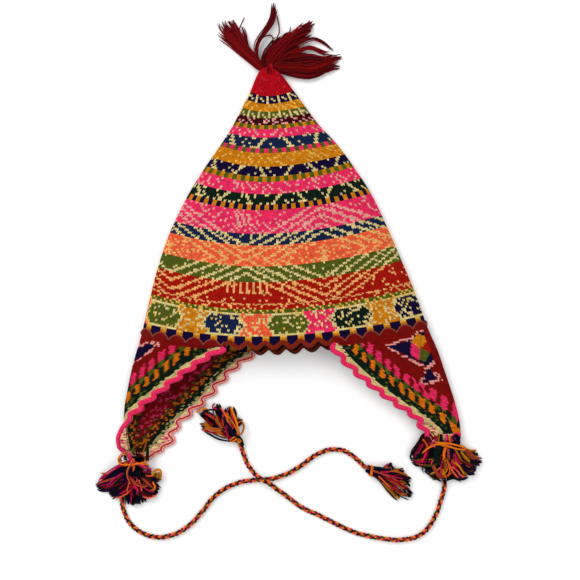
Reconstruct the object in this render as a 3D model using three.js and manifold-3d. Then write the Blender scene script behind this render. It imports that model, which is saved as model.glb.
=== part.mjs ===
// A knitted chullo: a pointed earflap hat that lies on its back, with its ties laid out on the surface.
// Units are millimetres. +Y runs from the brim to the point, +Z is up, and the surface is at z = 0.
import * as THREE from "three";
import Module from "manifold-3d";

const wasm = await Module();
wasm.setup();

// Driving dimensions
const KNIT_THICK = 3;
const PIECE_GAP = 0.4;
const HAT_AXIS_X = 4.6; // the hat's own axis, so that the whole part is centred on x = 0
const POINT_Y = 179; // the closed point of the crown
const CROWN_LENGTH = 264; // from the point to the brim, down the middle of the front
const TIP_SOLID = 13; // the knitting is closed solid this far below the point
const BACK_STRETCH = 1.0245; // the back layer lies flat, so it reaches further than the domed front
const FOLD_RADIUS = 6.5;
const HEM_LIFT = 0.8; // the back layer rises this much at the brim, where the thicker edging lies
const LIFT_FROM = 235;

const EDGE_PITCH = 16.8; // one wave of the knitted edging
const EDGE_THICK = 4;
const BRIM_EDGE_LOW = 4.4;
const BRIM_EDGE_HIGH = 10.2;
const BRIM_EDGE_AT_FLAP = 6;
const FLAP_EDGE_LOW = 4.2;
const FLAP_EDGE_HIGH = 7.4;
const NECK_EDGE = 2.6;
const FLAP_EDGE_GAP = 0.6;
const WAVE_STEPS = 5; // sections in one wave
const FLAP_COLUMNS = 18;
const FLAP_START = CROWN_LENGTH + BRIM_EDGE_AT_FLAP + 2 * PIECE_GAP;

const FLOOR_GAP = 0.3; // loose yarn stops this far above the surface
const NECK_RISE = 2.2; // a tassel's neck reaches its full height this far along

const CORD_DIAMETER = 5;
const CORD_SIDES = 8;
const CORD_STEP = 12;

// The crown, a row for each section: how far down the front middle it is, where its two side folds
// lie from the hat's axis, and how high the front stands there.
const CROWN_ROWS = [
  { down: 0, leftX: 0, leftY: 179, rightX: 0, rightY: 179, top: 5 },
  { down: 1.5, leftX: -3.4, leftY: 178, rightX: 3.6, rightY: 178, top: 8.5 },
  { down: 7.7, leftX: -9.4, leftY: 173.2, rightX: 10, rightY: 172.8, top: 12 },
  { down: 31, leftX: -19, leftY: 154.4, rightX: 23.4, rightY: 152.8, top: 14.5 },
  { down: 63, leftX: -37.4, leftY: 123.1, rightX: 45.1, rightY: 119.5, top: 18 },
  { down: 86.2, leftX: -51.1, leftY: 104.2, rightX: 61.6, rightY: 99.3, top: 20.5 },
  { down: 114, leftX: -69.3, leftY: 80.8, rightX: 76.7, rightY: 76.2, top: 23 },
  { down: 140.9, leftX: -86.7, leftY: 55.4, rightX: 91.8, rightY: 49.4, top: 25.5 },
  { down: 174.5, leftX: -104.4, leftY: 23.7, rightX: 105, rightY: 17.2, top: 28.5 },
  { down: 209.4, leftX: -118, leftY: -9.5, rightX: 117.4, rightY: -17, top: 31 },
  { down: 239.1, leftX: -127.3, leftY: -38.2, rightX: 127.9, rightY: -47, top: 33 },
  { down: 264, leftX: -135.4, leftY: -65.8, rightX: 136, rightY: -74.6, top: 34 },
  { down: 279, leftX: -140, leftY: -82, rightX: 140.4, rightY: -91, top: 34 },
];

// Soft folds in the front of the crown: where each crosses the brim line, how it leans towards the
// point, its half width, how far up it runs and its depth.
const SOFT_FOLDS = [
  { brimX: -66, pointX: -14, halfWidth: 20, reach: 190, depth: 2.2 },
  { brimX: 14, pointX: 6, halfWidth: 15, reach: 120, depth: 1.3 },
  { brimX: 88, pointX: 22, halfWidth: 19, reach: 205, depth: 2.4 },
];

// Each flap, a row for each section from the brim to the neck: its front edge, its fold and its back
// edge, how high the front half stands, its fold's radius and how far from the fold it keeps rising.
// The first row is the crown's own lower edge, between the two shares of its half width.
const LEFT_FLAP = {
  side: -1,
  frontShare: 0.43,
  backShare: 0.24,
  rows: [
    { frontX: -79, frontY: -97, foldX: -144.4, foldY: -92, backX: -52, backY: -107.5, top: 30, radius: 6.5, rise: 115 },
    { frontX: -101, frontY: -110, foldX: -149.4, foldY: -107, backX: -69, backY: -122, top: 26, radius: 6.3, rise: 90 },
    { frontX: -124, frontY: -125.5, foldX: -154, foldY: -124, backX: -84, backY: -137.5, top: 21, radius: 6, rise: 64 },
    { frontX: -146, frontY: -141, foldX: -158, foldY: -140, backX: -99, backY: -149, top: 16.5, radius: 5.6, rise: 42 },
    { frontX: -157.4, frontY: -153, foldX: -159.8, foldY: -153.4, backX: -111, backY: -159.5, top: 12, radius: 4.8, rise: 24 },
    { frontX: -158.8, frontY: -165, foldX: -160, foldY: -165.4, backX: -121.5, backY: -170, top: 9, radius: 4, rise: 14 },
    { frontX: -158.4, frontY: -176, foldX: -159.2, foldY: -176.4, backX: -131, backY: -180, top: 8, radius: 3.7, rise: 10 },
    { frontX: -157, frontY: -186.4, foldX: -157.8, foldY: -186.8, backX: -141, backY: -188, top: 8, radius: 3.7, rise: 10 },
  ],
};
const RIGHT_FLAP = {
  side: 1,
  frontShare: 0.34,
  backShare: 0.46,
  rows: [
    { frontX: 58.6, frontY: -107.6, foldX: 147, foldY: -106, backX: 78, backY: -108, top: 30, radius: 6.3, rise: 115 },
    { frontX: 77, frontY: -127, foldX: 152, foldY: -124, backX: 94, backY: -126, top: 25.5, radius: 6, rise: 96 },
    { frontX: 98.4, frontY: -146, foldX: 157.6, foldY: -144.6, backX: 111, backY: -144, top: 21, radius: 5.7, rise: 76 },
    { frontX: 121.6, frontY: -164.4, foldX: 162, foldY: -162.6, backX: 130, backY: -162, top: 17, radius: 5.3, rise: 56 },
    { frontX: 136.6, frontY: -177, foldX: 164, foldY: -176, backX: 142.6, backY: -176, top: 14, radius: 5, rise: 42 },
    { frontX: 145, frontY: -186, foldX: 164.4, foldY: -187, backX: 149, backY: -187, top: 12, radius: 4.8, rise: 34 },
  ],
};

// Tassels: where the neck starts and which way it points, its half sizes, and a row for each lock,
// with the lock's tip, its fullest width and height, and how far it swings aside on the way.
const TASSELS = {
  top_tassel: {
    neckX: -0.4, neckY: 178.5, headX: -0.4, headY: 188, halfWide: 5.4, halfHigh: 5.2,
    locks: [
      { tipX: -38, tipY: 224, wide: 19, high: 12, swing: -3 },
      { tipX: -19, tipY: 229.6, wide: 7, high: 7, swing: -7 },
      { tipX: 9, tipY: 238.2, wide: 11, high: 10, swing: 7 },
      { tipX: 44, tipY: 219.4, wide: 20, high: 15, swing: 4 },
      { tipX: 60, tipY: 195, wide: 22, high: 17, swing: 2 },
      { tipX: 68.4, tipY: 181, wide: 20, high: 15, swing: -2 },
      { tipX: 51, tipY: 166.6, wide: 16, high: 12, swing: -8 },
    ],
  },
  flap_tassel_left: {
    neckX: -149.6, neckY: -190.7, headX: -151, headY: -209, halfWide: 10, halfHigh: 4.4,
    locks: [
      { tipX: -192, tipY: -217.6, wide: 16, high: 12, swing: -4 },
      { tipX: -179, tipY: -226.6, wide: 19, high: 14, swing: -2 },
      { tipX: -157, tipY: -238.4, wide: 15, high: 16, swing: 0 },
      { tipX: -146, tipY: -236.6, wide: 19, high: 15, swing: 2 },
      { tipX: -131, tipY: -227, wide: 18, high: 14, swing: 3 },
      { tipX: -127, tipY: -209, wide: 14, high: 12, swing: 5 },
    ],
  },
  flap_tassel_right: {
    neckX: 154.6, neckY: -191.8, headX: 150, headY: -210, halfWide: 13.4, halfHigh: 5.6,
    locks: [
      { tipX: 115.6, tipY: -209.6, wide: 16, high: 13, swing: -3 },
      { tipX: 131, tipY: -226, wide: 20, high: 15, swing: -2 },
      { tipX: 147, tipY: -231.6, wide: 18, high: 16, swing: 0 },
      { tipX: 166, tipY: -232, wide: 20, high: 15, swing: 1 },
      { tipX: 178.4, tipY: -224, wide: 17, high: 13, swing: 2 },
      { tipX: 184.6, tipY: -215, wide: 13, high: 11, swing: 2 },
      { tipX: 180.6, tipY: -207.4, wide: 10, high: 9, swing: 5 },
    ],
  },
  cord_tassel_left: {
    neckX: 71.6, neckY: -215.6, headX: 85, headY: -222, halfWide: 3.6, halfHigh: 3.4,
    locks: [
      { tipX: 96.4, tipY: -211.4, wide: 7, high: 7, swing: 2 },
      { tipX: 108.6, tipY: -219.6, wide: 14, high: 11, swing: 2 },
      { tipX: 114, tipY: -231, wide: 15, high: 13, swing: 0 },
      { tipX: 114, tipY: -245.6, wide: 14, high: 12, swing: 0 },
      { tipX: 103, tipY: -247.4, wide: 12, high: 10, swing: 0 },
    ],
  },
  cord_tassel_right: {
    neckX: -50.2, neckY: -181.8, headX: -60.6, headY: -171.4, halfWide: 3.6, halfHigh: 3.4,
    locks: [
      { tipX: -88, tipY: -166.4, wide: 13, high: 10, swing: 1 },
      { tipX: -86.4, tipY: -151.4, wide: 15, high: 12, swing: 0 },
      { tipX: -71, tipY: -145, wide: 16, high: 13, swing: 0 },
      { tipX: -57, tipY: -147.4, wide: 14, high: 12, swing: -1 },
      { tipX: -45, tipY: -161, wide: 10, high: 9, swing: -4 },
    ],
  },
};

// The yarn wound round each tassel's neck: how far along from the neck's start, its length and build.
const WRAPS = {
  flap_tassel_left: { along: 6.6, long: 8, thick: 3 },
  flap_tassel_right: { along: 6, long: 6.4, thick: 3 },
  cord_tassel_left: { along: 5.6, long: 6, thick: 1.6 },
  cord_tassel_right: { along: 5.6, long: 6, thick: 1.6 },
};

// Where the ties run, from the hat's axis: each lies on the surface, and the right one crosses over.
const LEFT_TIE = [
  [-166.6, -229], [-165.8, -241.8], [-159, -256.7], [-145.2, -267.1], [-130.9, -270.4],
  [-114.4, -267.1], [-101.4, -259.2], [-89.2, -247.4], [-77.8, -234.7], [-64.8, -226.3],
  [-51.1, -221.8], [-35.6, -220.4], [-20.2, -220.2], [-2.9, -215.4], [10.4, -208.2],
  [20.4, -201.6], [29.3, -197.4], [38.1, -195.5], [45.7, -196], [52.3, -198], [61.5, -205],
  [70.4, -214.8],
];
const RIGHT_TIE = [
  [146.6, -232], [145.7, -239.6], [142.5, -248.9], [138, -260.6], [132.6, -270.5],
  [125.7, -279], [118.3, -284], [111, -286.1], [96.5, -286.8], [77.6, -283.3], [57.2, -277.2],
  [38.5, -267.4], [23.3, -258.5], [6.3, -249.4], [-7.4, -237.5], [-22.5, -224.5],
  [-34.7, -215.9], [-43.6, -203.3], [-47.5, -190.3], [-49.3, -183.2],
];
const CROSSING = { x: -27, y: -221, reach: 34, flat: 8 };

// A value of one column of a table, on a smooth curve through its rows.
function column(rows, key, at, name) {
  const last = rows.length - 1;
  let i = 0;
  while (i < last - 1 && at > rows[i + 1][key]) i += 1;
  const slope = (k) => {
    const a = rows[Math.max(0, k - 1)];
    const b = rows[Math.min(last, k + 1)];
    return (b[name] - a[name]) / (b[key] - a[key]);
  };
  const span = rows[i + 1][key] - rows[i][key];
  const t = THREE.MathUtils.clamp((at - rows[i][key]) / span, 0, 1);
  const a = rows[i][name];
  const b = rows[i + 1][name];
  const h = t * t * (3 - 2 * t);
  return a + (b - a) * h + span * (slope(i) * t * (1 - t) ** 2 - slope(i + 1) * t * t * (1 - t));
}

const crownAt = (down, name) => column(CROWN_ROWS, "down", down, name);
const hemLift = (down) => HEM_LIFT * THREE.MathUtils.smoothstep(down, LIFT_FROM, CROWN_LENGTH);

// How high the knitting's outer face stands, by its distance from the fold: the front half rises to
// its top over a given distance, and the back half comes down to the surface.
function frontHeight(distance, rise, top, radius) {
  const s = 1 - Math.min(1, distance / rise);
  return radius + (top - radius) * (1 - s ** 2.2) ** 0.55;
}

function backHeight(distance, rise, top, radius) {
  const reach = Math.min(2.2 * radius, rise);
  const s = 1 - Math.min(1, distance / reach);
  return radius * (1 - Math.sqrt(1 - s * s));
}

function softFoldDepth(x, down) {
  let depth = 0;
  for (const fold of SOFT_FOLDS) {
    const up = (CROWN_LENGTH - down) / CROWN_LENGTH;
    const centre = THREE.MathUtils.lerp(fold.brimX, fold.pointX, up);
    const width = fold.halfWidth * (1 - 0.5 * up);
    const fade = THREE.MathUtils.smoothstep(down, CROWN_LENGTH - fold.reach, CROWN_LENGTH - 40);
    depth += fold.depth * fade * Math.exp(-(((x - centre) / width) ** 2));
  }
  return depth;
}

// A point of the crown's outer face. share runs from -1 at the left fold to 1 at the right one.
function crownPoint(front, share, down) {
  const side = share < 0 ? "left" : "right";
  const foldX = Math.abs(crownAt(down, `${side}X`));
  const foldY = crownAt(down, `${side}Y`);
  const top = crownAt(down, "top");
  const radius = Math.min(FOLD_RADIUS, top / 2);
  const middleY = POINT_Y - down * (front ? 1 : BACK_STRETCH);
  const x = share * foldX;
  const y = middleY + (foldY - middleY) * share * share;
  const distance = foldX * (1 - Math.abs(share));
  const high = front
    ? frontHeight(distance, foldX, top, radius) - softFoldDepth(x, down) * (1 - share ** 4)
    : backHeight(distance, foldX, top, radius);
  return new THREE.Vector3(x, y, high + hemLift(down));
}

// Once round the crown: 0 is the left fold, 0.5 the right one, the front lies between them.
function roundCrown(turn, down) {
  const t = turn - Math.floor(turn);
  const front = t <= 0.5;
  const swing = front ? 4 * t - 1 : 3 - 4 * t;
  return crownPoint(front, Math.sin((swing * Math.PI) / 2), down);
}

function turnAt(front, share) {
  const swing = (Math.asin(share) * 2) / Math.PI;
  return front ? (swing + 1) / 4 : (3 - swing) / 4;
}

// The same point moved into the wall: depth 0 is the outer face and 1 the inner one.
function insideCrown(turn, down, depth) {
  const across = roundCrown(turn + 0.002, down).sub(roundCrown(turn - 0.002, down));
  const along = roundCrown(turn, down + 0.5).sub(roundCrown(turn, down - 0.5));
  const normal = along.cross(across).normalize();
  return roundCrown(turn, down).addScaledVector(normal, -KNIT_THICK * depth);
}

// Geometry from points and triangles, with its faces turned outward.
function bodyGeometry(points, triangles) {
  let volume = 0;
  for (const [a, b, c] of triangles) volume += points[a].dot(points[b].clone().cross(points[c]));
  const faces = volume > 0 ? triangles : triangles.map(([a, b, c]) => [a, c, b]);
  const geometry = new THREE.BufferGeometry().setFromPoints(points);
  geometry.setIndex(faces.flat());
  geometry.computeVertexNormals();
  return geometry;
}

// A body lofted through rings of points, closed on itself or with a flat end at both ends.
function loftGeometry(rings, closed = false) {
  const sides = rings[0].length;
  const points = rings.flat();
  const triangles = [];
  const joins = closed ? rings.length : rings.length - 1;
  for (let i = 0; i < joins; i += 1) {
    for (let k = 0; k < sides; k += 1) {
      const a = i * sides + k;
      const b = i * sides + ((k + 1) % sides);
      const c = ((i + 1) % rings.length) * sides + k;
      const d = ((i + 1) % rings.length) * sides + ((k + 1) % sides);
      triangles.push([a, b, d], [a, d, c]);
    }
  }
  if (!closed) {
    const last = (rings.length - 1) * sides;
    for (let k = 1; k < sides - 1; k += 1) {
      triangles.push([0, k + 1, k], [last, last + k, last + k + 1]);
    }
  }
  return bodyGeometry(points, triangles);
}

// A wall between two grids of points, its outer and inner face, joined along all four edges.
function wallGeometry(outer, inner) {
  const rows = outer.length;
  const columns = outer[0].length;
  const points = [...outer.flat(), ...inner.flat()];
  const innerFirst = rows * columns;
  const at = (i, k, face) => face * innerFirst + i * columns + k;
  const triangles = [];
  const quad = (a, b, c, d) => triangles.push([a, b, c], [a, c, d]);
  for (let i = 0; i < rows - 1; i += 1) {
    for (let k = 0; k < columns - 1; k += 1) {
      quad(at(i, k, 0), at(i, k + 1, 0), at(i + 1, k + 1, 0), at(i + 1, k, 0));
      quad(at(i, k, 1), at(i + 1, k, 1), at(i + 1, k + 1, 1), at(i, k + 1, 1));
    }
  }
  for (let k = 0; k < columns - 1; k += 1) {
    quad(at(0, k, 0), at(0, k, 1), at(0, k + 1, 1), at(0, k + 1, 0));
    quad(at(rows - 1, k, 0), at(rows - 1, k + 1, 0), at(rows - 1, k + 1, 1), at(rows - 1, k, 1));
  }
  for (let i = 0; i < rows - 1; i += 1) {
    quad(at(i, 0, 0), at(i + 1, 0, 0), at(i + 1, 0, 1), at(i, 0, 1));
    quad(at(i, columns - 1, 0), at(i, columns - 1, 1), at(i + 1, columns - 1, 1), at(i + 1, columns - 1, 0));
  }
  return bodyGeometry(points, triangles);
}

// Points at even steps along a line of points.
function evenly(line, count) {
  const along = [0];
  for (let i = 1; i < line.length; i += 1) along.push(along[i - 1] + line[i].distanceTo(line[i - 1]));
  const out = [];
  let k = 1;
  for (let i = 0; i <= count; i += 1) {
    const at = (along[along.length - 1] * i) / count;
    while (k < line.length - 1 && along[k] < at) k += 1;
    const t = THREE.MathUtils.clamp((at - along[k - 1]) / (along[k] - along[k - 1]), 0, 1);
    out.push(line[k - 1].clone().lerp(line[k], t));
  }
  return out;
}

function crownGeometry() {
  const columns = 40;
  const outerDowns = [1.2, 4, 8, 14, 23, 35, 50, 68, 88, 108, 130, 152, 175, 198, 221, 243, CROWN_LENGTH];
  const rings = outerDowns.map((down) => ring(down, 0));
  const innerDowns = outerDowns.filter((down) => down > TIP_SOLID).reverse();
  for (const down of innerDowns) rings.push(ring(down, 1));
  return loftGeometry(rings);

  function ring(down, depth) {
    return Array.from({ length: columns }, (_, k) => insideCrown(k / columns, down, depth));
  }
}

// The wavy edging that hangs on the brim: deep waves where the brim is free, plain above the flaps.
function brimEdgingGeometry() {
  const front = { from: -LEFT_FLAP.frontShare + 0.045, to: RIGHT_FLAP.frontShare - 0.06, waves: 5 };
  const back = { from: RIGHT_FLAP.backShare - 0.05, to: -LEFT_FLAP.backShare + 0.05, waves: 5 };
  const stations = [];
  for (const [isFront, zone] of [[true, front], [false, back]]) {
    const steps = zone.waves * WAVE_STEPS;
    for (let i = 0; i <= steps; i += 1) {
      const share = THREE.MathUtils.lerp(zone.from, zone.to, i / steps);
      const ends = Math.min(1, i / 3, (steps - i) / 3);
      const wave = 0.5 - 0.5 * Math.cos((2 * Math.PI * i) / WAVE_STEPS + Math.PI);
      const waved = THREE.MathUtils.lerp(BRIM_EDGE_LOW, BRIM_EDGE_HIGH, wave);
      const width = THREE.MathUtils.lerp(BRIM_EDGE_AT_FLAP, waved, ends);
      stations.push({ turn: turnAt(isFront, share), width });
    }
    const start = turnAt(isFront, zone.to);
    const end = isFront ? turnAt(false, back.from) : turnAt(true, front.from) + 1;
    const plainSteps = 17;
    for (let i = 1; i < plainSteps; i += 1) {
      const turn = THREE.MathUtils.lerp(start, end, i / plainSteps);
      stations.push({ turn, width: BRIM_EDGE_AT_FLAP });
    }
  }
  const rings = stations.map(({ turn, width }) =>
    edgeSection(width, PIECE_GAP).map(([out, high]) =>
      insideCrown(turn, CROWN_LENGTH + out, 0.5 - high / KNIT_THICK)
    )
  );
  return loftGeometry(rings, true);
}

// The edging's section: how far each corner lies below the knitting's end, and above its mid line.
function edgeSection(width, gap) {
  const half = EDGE_THICK / 2;
  return [
    [gap, -KNIT_THICK / 2],
    [width - 1.9, -half],
    [width, -0.4 * half],
    [width, 0.4 * half],
    [width - 1.9, half],
    [gap, KNIT_THICK / 2],
  ];
}

// The rows of a flap, with the crown's own lower edge as the first one.
function flapRows(flap) {
  const foldSide = flap.side < 0 ? "left" : "right";
  const front = crownPoint(true, flap.side * flap.frontShare, FLAP_START);
  const back = crownPoint(false, flap.side * flap.backShare, FLAP_START);
  const foldX = crownAt(FLAP_START, `${foldSide}X`);
  const first = {
    row: 0, frontX: front.x, frontY: front.y, foldX, foldY: crownAt(FLAP_START, `${foldSide}Y`),
    backX: back.x, backY: back.y,
    top: crownAt(FLAP_START, "top"), radius: FOLD_RADIUS, rise: Math.abs(foldX),
  };
  return [first, ...flap.rows.map((row, i) => ({ ...row, row: i + 1 }))];
}

// A point of a flap's outer face, at a share of the way from its fold to its front or back edge.
function flapPoint(rows, at, isFront, share) {
  const value = (name) => column(rows, "row", at, name);
  const edge = isFront ? "front" : "back";
  const fold = new THREE.Vector2(value("foldX"), value("foldY"));
  const plan = fold.clone().lerp(new THREE.Vector2(value(`${edge}X`), value(`${edge}Y`)), share);
  const distance = fold.distanceTo(plan);
  const height = isFront ? frontHeight : backHeight;
  const high = height(distance, value("rise"), value("top"), value("radius"));
  return new THREE.Vector3(plan.x, plan.y, high + HEM_LIFT);
}

// One row of a flap's outer face, from its front edge round the fold to its back edge. At the brim it
// takes the crown's own curve, and the difference fades out by the next row.
function flapRow(flap, at) {
  const rows = flapRows(flap);
  const steps = 60;
  const line = [];
  for (let i = -steps; i <= steps; i += 1) {
    const isFront = i < 0;
    const share = (Math.abs(i) / steps) ** 2;
    const point = flapPoint(rows, at, isFront, share);
    if (at < 1) {
      const edge = isFront ? flap.frontShare : flap.backShare;
      const crown = crownPoint(isFront, flap.side * (1 - share * (1 - edge)), FLAP_START);
      point.addScaledVector(crown.sub(flapPoint(rows, 0, isFront, share)), 1 - at);
    }
    line.push(point);
  }
  return line;
}

function flapWall(flap, at, columns) {
  const step = 0.02;
  const row = evenly(flapRow(flap, at), columns);
  const before = evenly(flapRow(flap, Math.max(0, at - step)), columns);
  const after = evenly(flapRow(flap, Math.min(flap.rows.length, at + step)), columns);
  return row.map((point, k) => {
    const along = after[k].clone().sub(before[k]);
    const across = row[Math.min(columns, k + 1)].clone().sub(row[Math.max(0, k - 1)]);
    const normal = across.clone().cross(along).normalize().multiplyScalar(-flap.side);
    return { point, normal, across: across.normalize(), along: along.normalize() };
  });
}

// A flap's wall as a grid: a row for each section, with the outer point and the directions there.
function flapGrid(flap) {
  const rowCount = flap.rows.length + 4;
  return Array.from({ length: rowCount + 1 }, (_, i) =>
    flapWall(flap, (flap.rows.length * i) / rowCount, FLAP_COLUMNS)
  );
}

function flapGeometry(grid) {
  const outer = grid.map((wall) => wall.map(({ point }) => point));
  const inner = grid.map((wall) =>
    wall.map(({ point, normal }) => point.clone().addScaledVector(normal, -KNIT_THICK))
  );
  return wallGeometry(outer, inner);
}

// The way round a flap for its edging: down the front edge, across the neck and up the back edge.
// Each stop has the middle of the wall, its normal and the way out of the wall.
function edgeStops(grid) {
  const stop = ({ point, normal }, out) => ({
    middle: point.clone().addScaledVector(normal, -KNIT_THICK / 2),
    normal,
    out: out.clone().normalize(),
  });
  const frontOut = (wall) => wall[0].across.clone().negate();
  const backOut = (wall) => wall[FLAP_COLUMNS].across;
  const neck = grid[grid.length - 1];
  const turned = (end, from, to) => [0.35, 0.7].map((t) => stop(end, from.clone().lerp(to, t)));
  const belowNeck = ({ middle, normal, out }) => ({
    middle: middle.addScaledVector(out, PIECE_GAP),
    normal,
    out,
  });
  return {
    front: grid.map((wall) => stop(wall[0], frontOut(wall))),
    neck: [
      ...turned(neck[0], frontOut(neck), neck[0].along),
      ...neck.filter((_, k) => k % 2 === 0).map((end) => stop(end, end.along)),
      ...turned(neck[FLAP_COLUMNS], neck[FLAP_COLUMNS].along, backOut(neck)),
    ].map(belowNeck),
    back: grid.map((wall) => stop(wall[FLAP_COLUMNS], backOut(wall))).reverse(),
  };
}

function edgeRing({ middle, normal, out }, width) {
  return edgeSection(width, FLAP_EDGE_GAP).map(([below, high]) =>
    middle.clone().addScaledVector(out, below).addScaledVector(normal, high)
  );
}

// The rings of a scalloped run of edging, at even steps along its stops.
function scallopRings(stops, neckAtEnd) {
  const along = [0];
  for (let i = 1; i < stops.length; i += 1) {
    along.push(along[i - 1] + stops[i].middle.distanceTo(stops[i - 1].middle));
  }
  const length = along[along.length - 1];
  const steps = Math.round(length / EDGE_PITCH) * WAVE_STEPS;
  return Array.from({ length: steps + 1 }, (_, i) => {
    const at = (length * i) / steps;
    let k = 1;
    while (k < stops.length - 1 && along[k] < at) k += 1;
    const t = (at - along[k - 1]) / (along[k] - along[k - 1]);
    const [from, to] = [stops[k - 1], stops[k]];
    const here = {
      middle: from.middle.clone().lerp(to.middle, t),
      normal: from.normal.clone().lerp(to.normal, t).normalize(),
      out: from.out.clone().lerp(to.out, t).normalize(),
    };
    const wave = 0.5 - 0.5 * Math.cos((2 * Math.PI * i) / WAVE_STEPS + 1);
    const waved = THREE.MathUtils.lerp(FLAP_EDGE_LOW, FLAP_EDGE_HIGH, wave);
    const fromNeck = neckAtEnd ? steps - i : i;
    const width = THREE.MathUtils.lerp(NECK_EDGE, waved, Math.min(1, fromNeck / WAVE_STEPS));
    return edgeRing(here, width);
  });
}

function flapEdgingGeometry(grid) {
  const stops = edgeStops(grid);
  return loftGeometry([
    ...scallopRings(stops.front, true),
    ...stops.neck.map((stop) => edgeRing(stop, NECK_EDGE)),
    ...scallopRings(stops.back, false),
  ]);
}

// An ellipse of points, lying across a level direction.
function crossRing(centre, direction, halfWide, halfHigh, sides) {
  const sideways = new THREE.Vector3(-direction.y, direction.x, 0).normalize();
  return Array.from({ length: sides }, (_, k) => {
    const angle = (2 * Math.PI * (k + 0.5)) / sides;
    return centre
      .clone()
      .addScaledVector(sideways, halfWide * Math.cos(angle))
      .setZ(centre.z + halfHigh * Math.sin(angle));
  });
}

// A lock of yarn from a tassel's head to its tip, fullest in its middle.
function lockGeometry(tassel, lock) {
  const head = new THREE.Vector3(tassel.headX, tassel.headY, 0);
  const tip = new THREE.Vector3(lock.tipX, lock.tipY, 0);
  const neck = new THREE.Vector3(tassel.neckX, tassel.neckY, 0);
  const inward = head.clone().sub(neck).normalize();
  const start = head.clone().addScaledVector(inward, -2.5);
  const aside = tip.clone().sub(head).cross(new THREE.Vector3(0, 0, 1)).normalize();
  const middle = start.clone().lerp(tip, 0.5).addScaledVector(aside, lock.swing);
  const curve = new THREE.QuadraticBezierCurve3(start, middle, tip);
  const shape = [
    { at: 0, wide: 0.5, high: 0.55 },
    { at: 0.22, wide: 0.8, high: 0.85 },
    { at: 0.5, wide: 1, high: 1 },
    { at: 0.78, wide: 0.85, high: 0.75 },
    { at: 1, wide: 0.3, high: 0.3 },
  ];
  const rings = shape.map(({ at, wide, high }) => {
    const halfHigh = (lock.high * high) / 2;
    const rest = FLOOR_GAP + halfHigh;
    const hung = Math.max(rest, neckHeight(tassel));
    const z = THREE.MathUtils.lerp(hung, rest, Math.min(1, at * 2.5));
    return crossRing(curve.getPoint(at).setZ(z), curve.getTangent(at), (lock.wide * wide) / 2, halfHigh, 6);
  });
  return loftGeometry(rings);
}

// How high a tassel's neck stands, so that the yarn wound round it just clears the surface.
function neckHeight(tassel) {
  return FLOOR_GAP + tassel.halfHigh + (tassel.wrapThick ? tassel.wrapThick + PIECE_GAP : 0);
}

function neckGeometry(tassel) {
  const start = new THREE.Vector3(tassel.neckX, tassel.neckY, 0);
  const head = new THREE.Vector3(tassel.headX, tassel.headY, 0);
  const direction = head.clone().sub(start).normalize();
  const long = head.distanceTo(start);
  const hung = neckHeight(tassel);
  const shape = [
    { along: 0, size: 0.8, z: FLOOR_GAP + 0.8 * tassel.halfHigh },
    { along: NECK_RISE, size: 1, z: hung },
    { along: long, size: 1, z: hung },
    { along: long + 4, size: 0.7, z: hung },
  ];
  const rings = shape.map(({ along, size, z }) => {
    const centre = start.clone().addScaledVector(direction, along).setZ(z);
    return crossRing(centre, direction, tassel.halfWide * size, tassel.halfHigh * size, 12);
  });
  return loftGeometry(rings);
}

function toManifold(geometry) {
  return new wasm.Manifold(
    new wasm.Mesh({
      numProp: 3,
      vertProperties: new Float32Array(geometry.attributes.position.array),
      triVerts: new Uint32Array(geometry.index.array),
    })
  );
}

function fromManifold(solid) {
  const mesh = solid.getMesh();
  const geometry = new THREE.BufferGeometry();
  const positions = new Float32Array(mesh.numVert * 3);
  for (let i = 0; i < mesh.numVert; i += 1) {
    for (let k = 0; k < 3; k += 1) positions[i * 3 + k] = mesh.vertProperties[i * mesh.numProp + k];
  }
  geometry.setAttribute("position", new THREE.BufferAttribute(positions, 3));
  geometry.setIndex(new THREE.BufferAttribute(new Uint32Array(mesh.triVerts), 1));
  geometry.computeVertexNormals();
  return geometry;
}

function tasselGeometry(name) {
  const tassel = { ...TASSELS[name], wrapThick: WRAPS[name]?.thick };
  let solid = toManifold(neckGeometry(tassel));
  for (const lock of tassel.locks) solid = solid.add(toManifold(lockGeometry(tassel, lock)));
  return fromManifold(solid);
}

// The yarn wound round a tassel's neck: a closed ring of six-sided section.
function wrapGeometry(name) {
  const wrap = WRAPS[name];
  const tassel = { ...TASSELS[name], wrapThick: wrap.thick };
  const from = new THREE.Vector3(tassel.neckX, tassel.neckY, neckHeight(tassel));
  const direction = new THREE.Vector3(tassel.headX, tassel.headY, from.z).sub(from).normalize();
  const sections = [
    { out: 0, at: -0.5 },
    { out: 0.75, at: -0.45 },
    { out: 1, at: 0 },
    { out: 0.75, at: 0.45 },
    { out: 0, at: 0.5 },
  ];
  const loops = sections.map(({ out, at }) => {
    const centre = from.clone().addScaledVector(direction, wrap.along + wrap.long * at);
    const grow = PIECE_GAP + wrap.thick * out;
    return crossRing(centre, direction, tassel.halfWide + grow, tassel.halfHigh + grow, 12);
  });
  const rings = loops[0].map((_, k) => loops.map((loop) => loop[k]));
  return loftGeometry(rings, true);
}

// A tie cord's route, lifted over the other cord where they cross.
function tieRoute(points, over) {
  const radius = CORD_DIAMETER / 2;
  const flat = points.map(([x, y]) => new THREE.Vector3(x, y, radius + 0.1));
  const curve = new THREE.CatmullRomCurve3(flat, false, "centripetal");
  const steps = Math.ceil(curve.getLength() / 6);
  return curve.getSpacedPoints(steps).map((point) => {
    const away = Math.hypot(point.x - CROSSING.x, point.y - CROSSING.y);
    const lift = 1 - THREE.MathUtils.smoothstep(away, CROSSING.flat, CROSSING.reach);
    return over ? point.setZ(point.z + lift * (CORD_DIAMETER + PIECE_GAP)) : point;
  });
}

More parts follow.
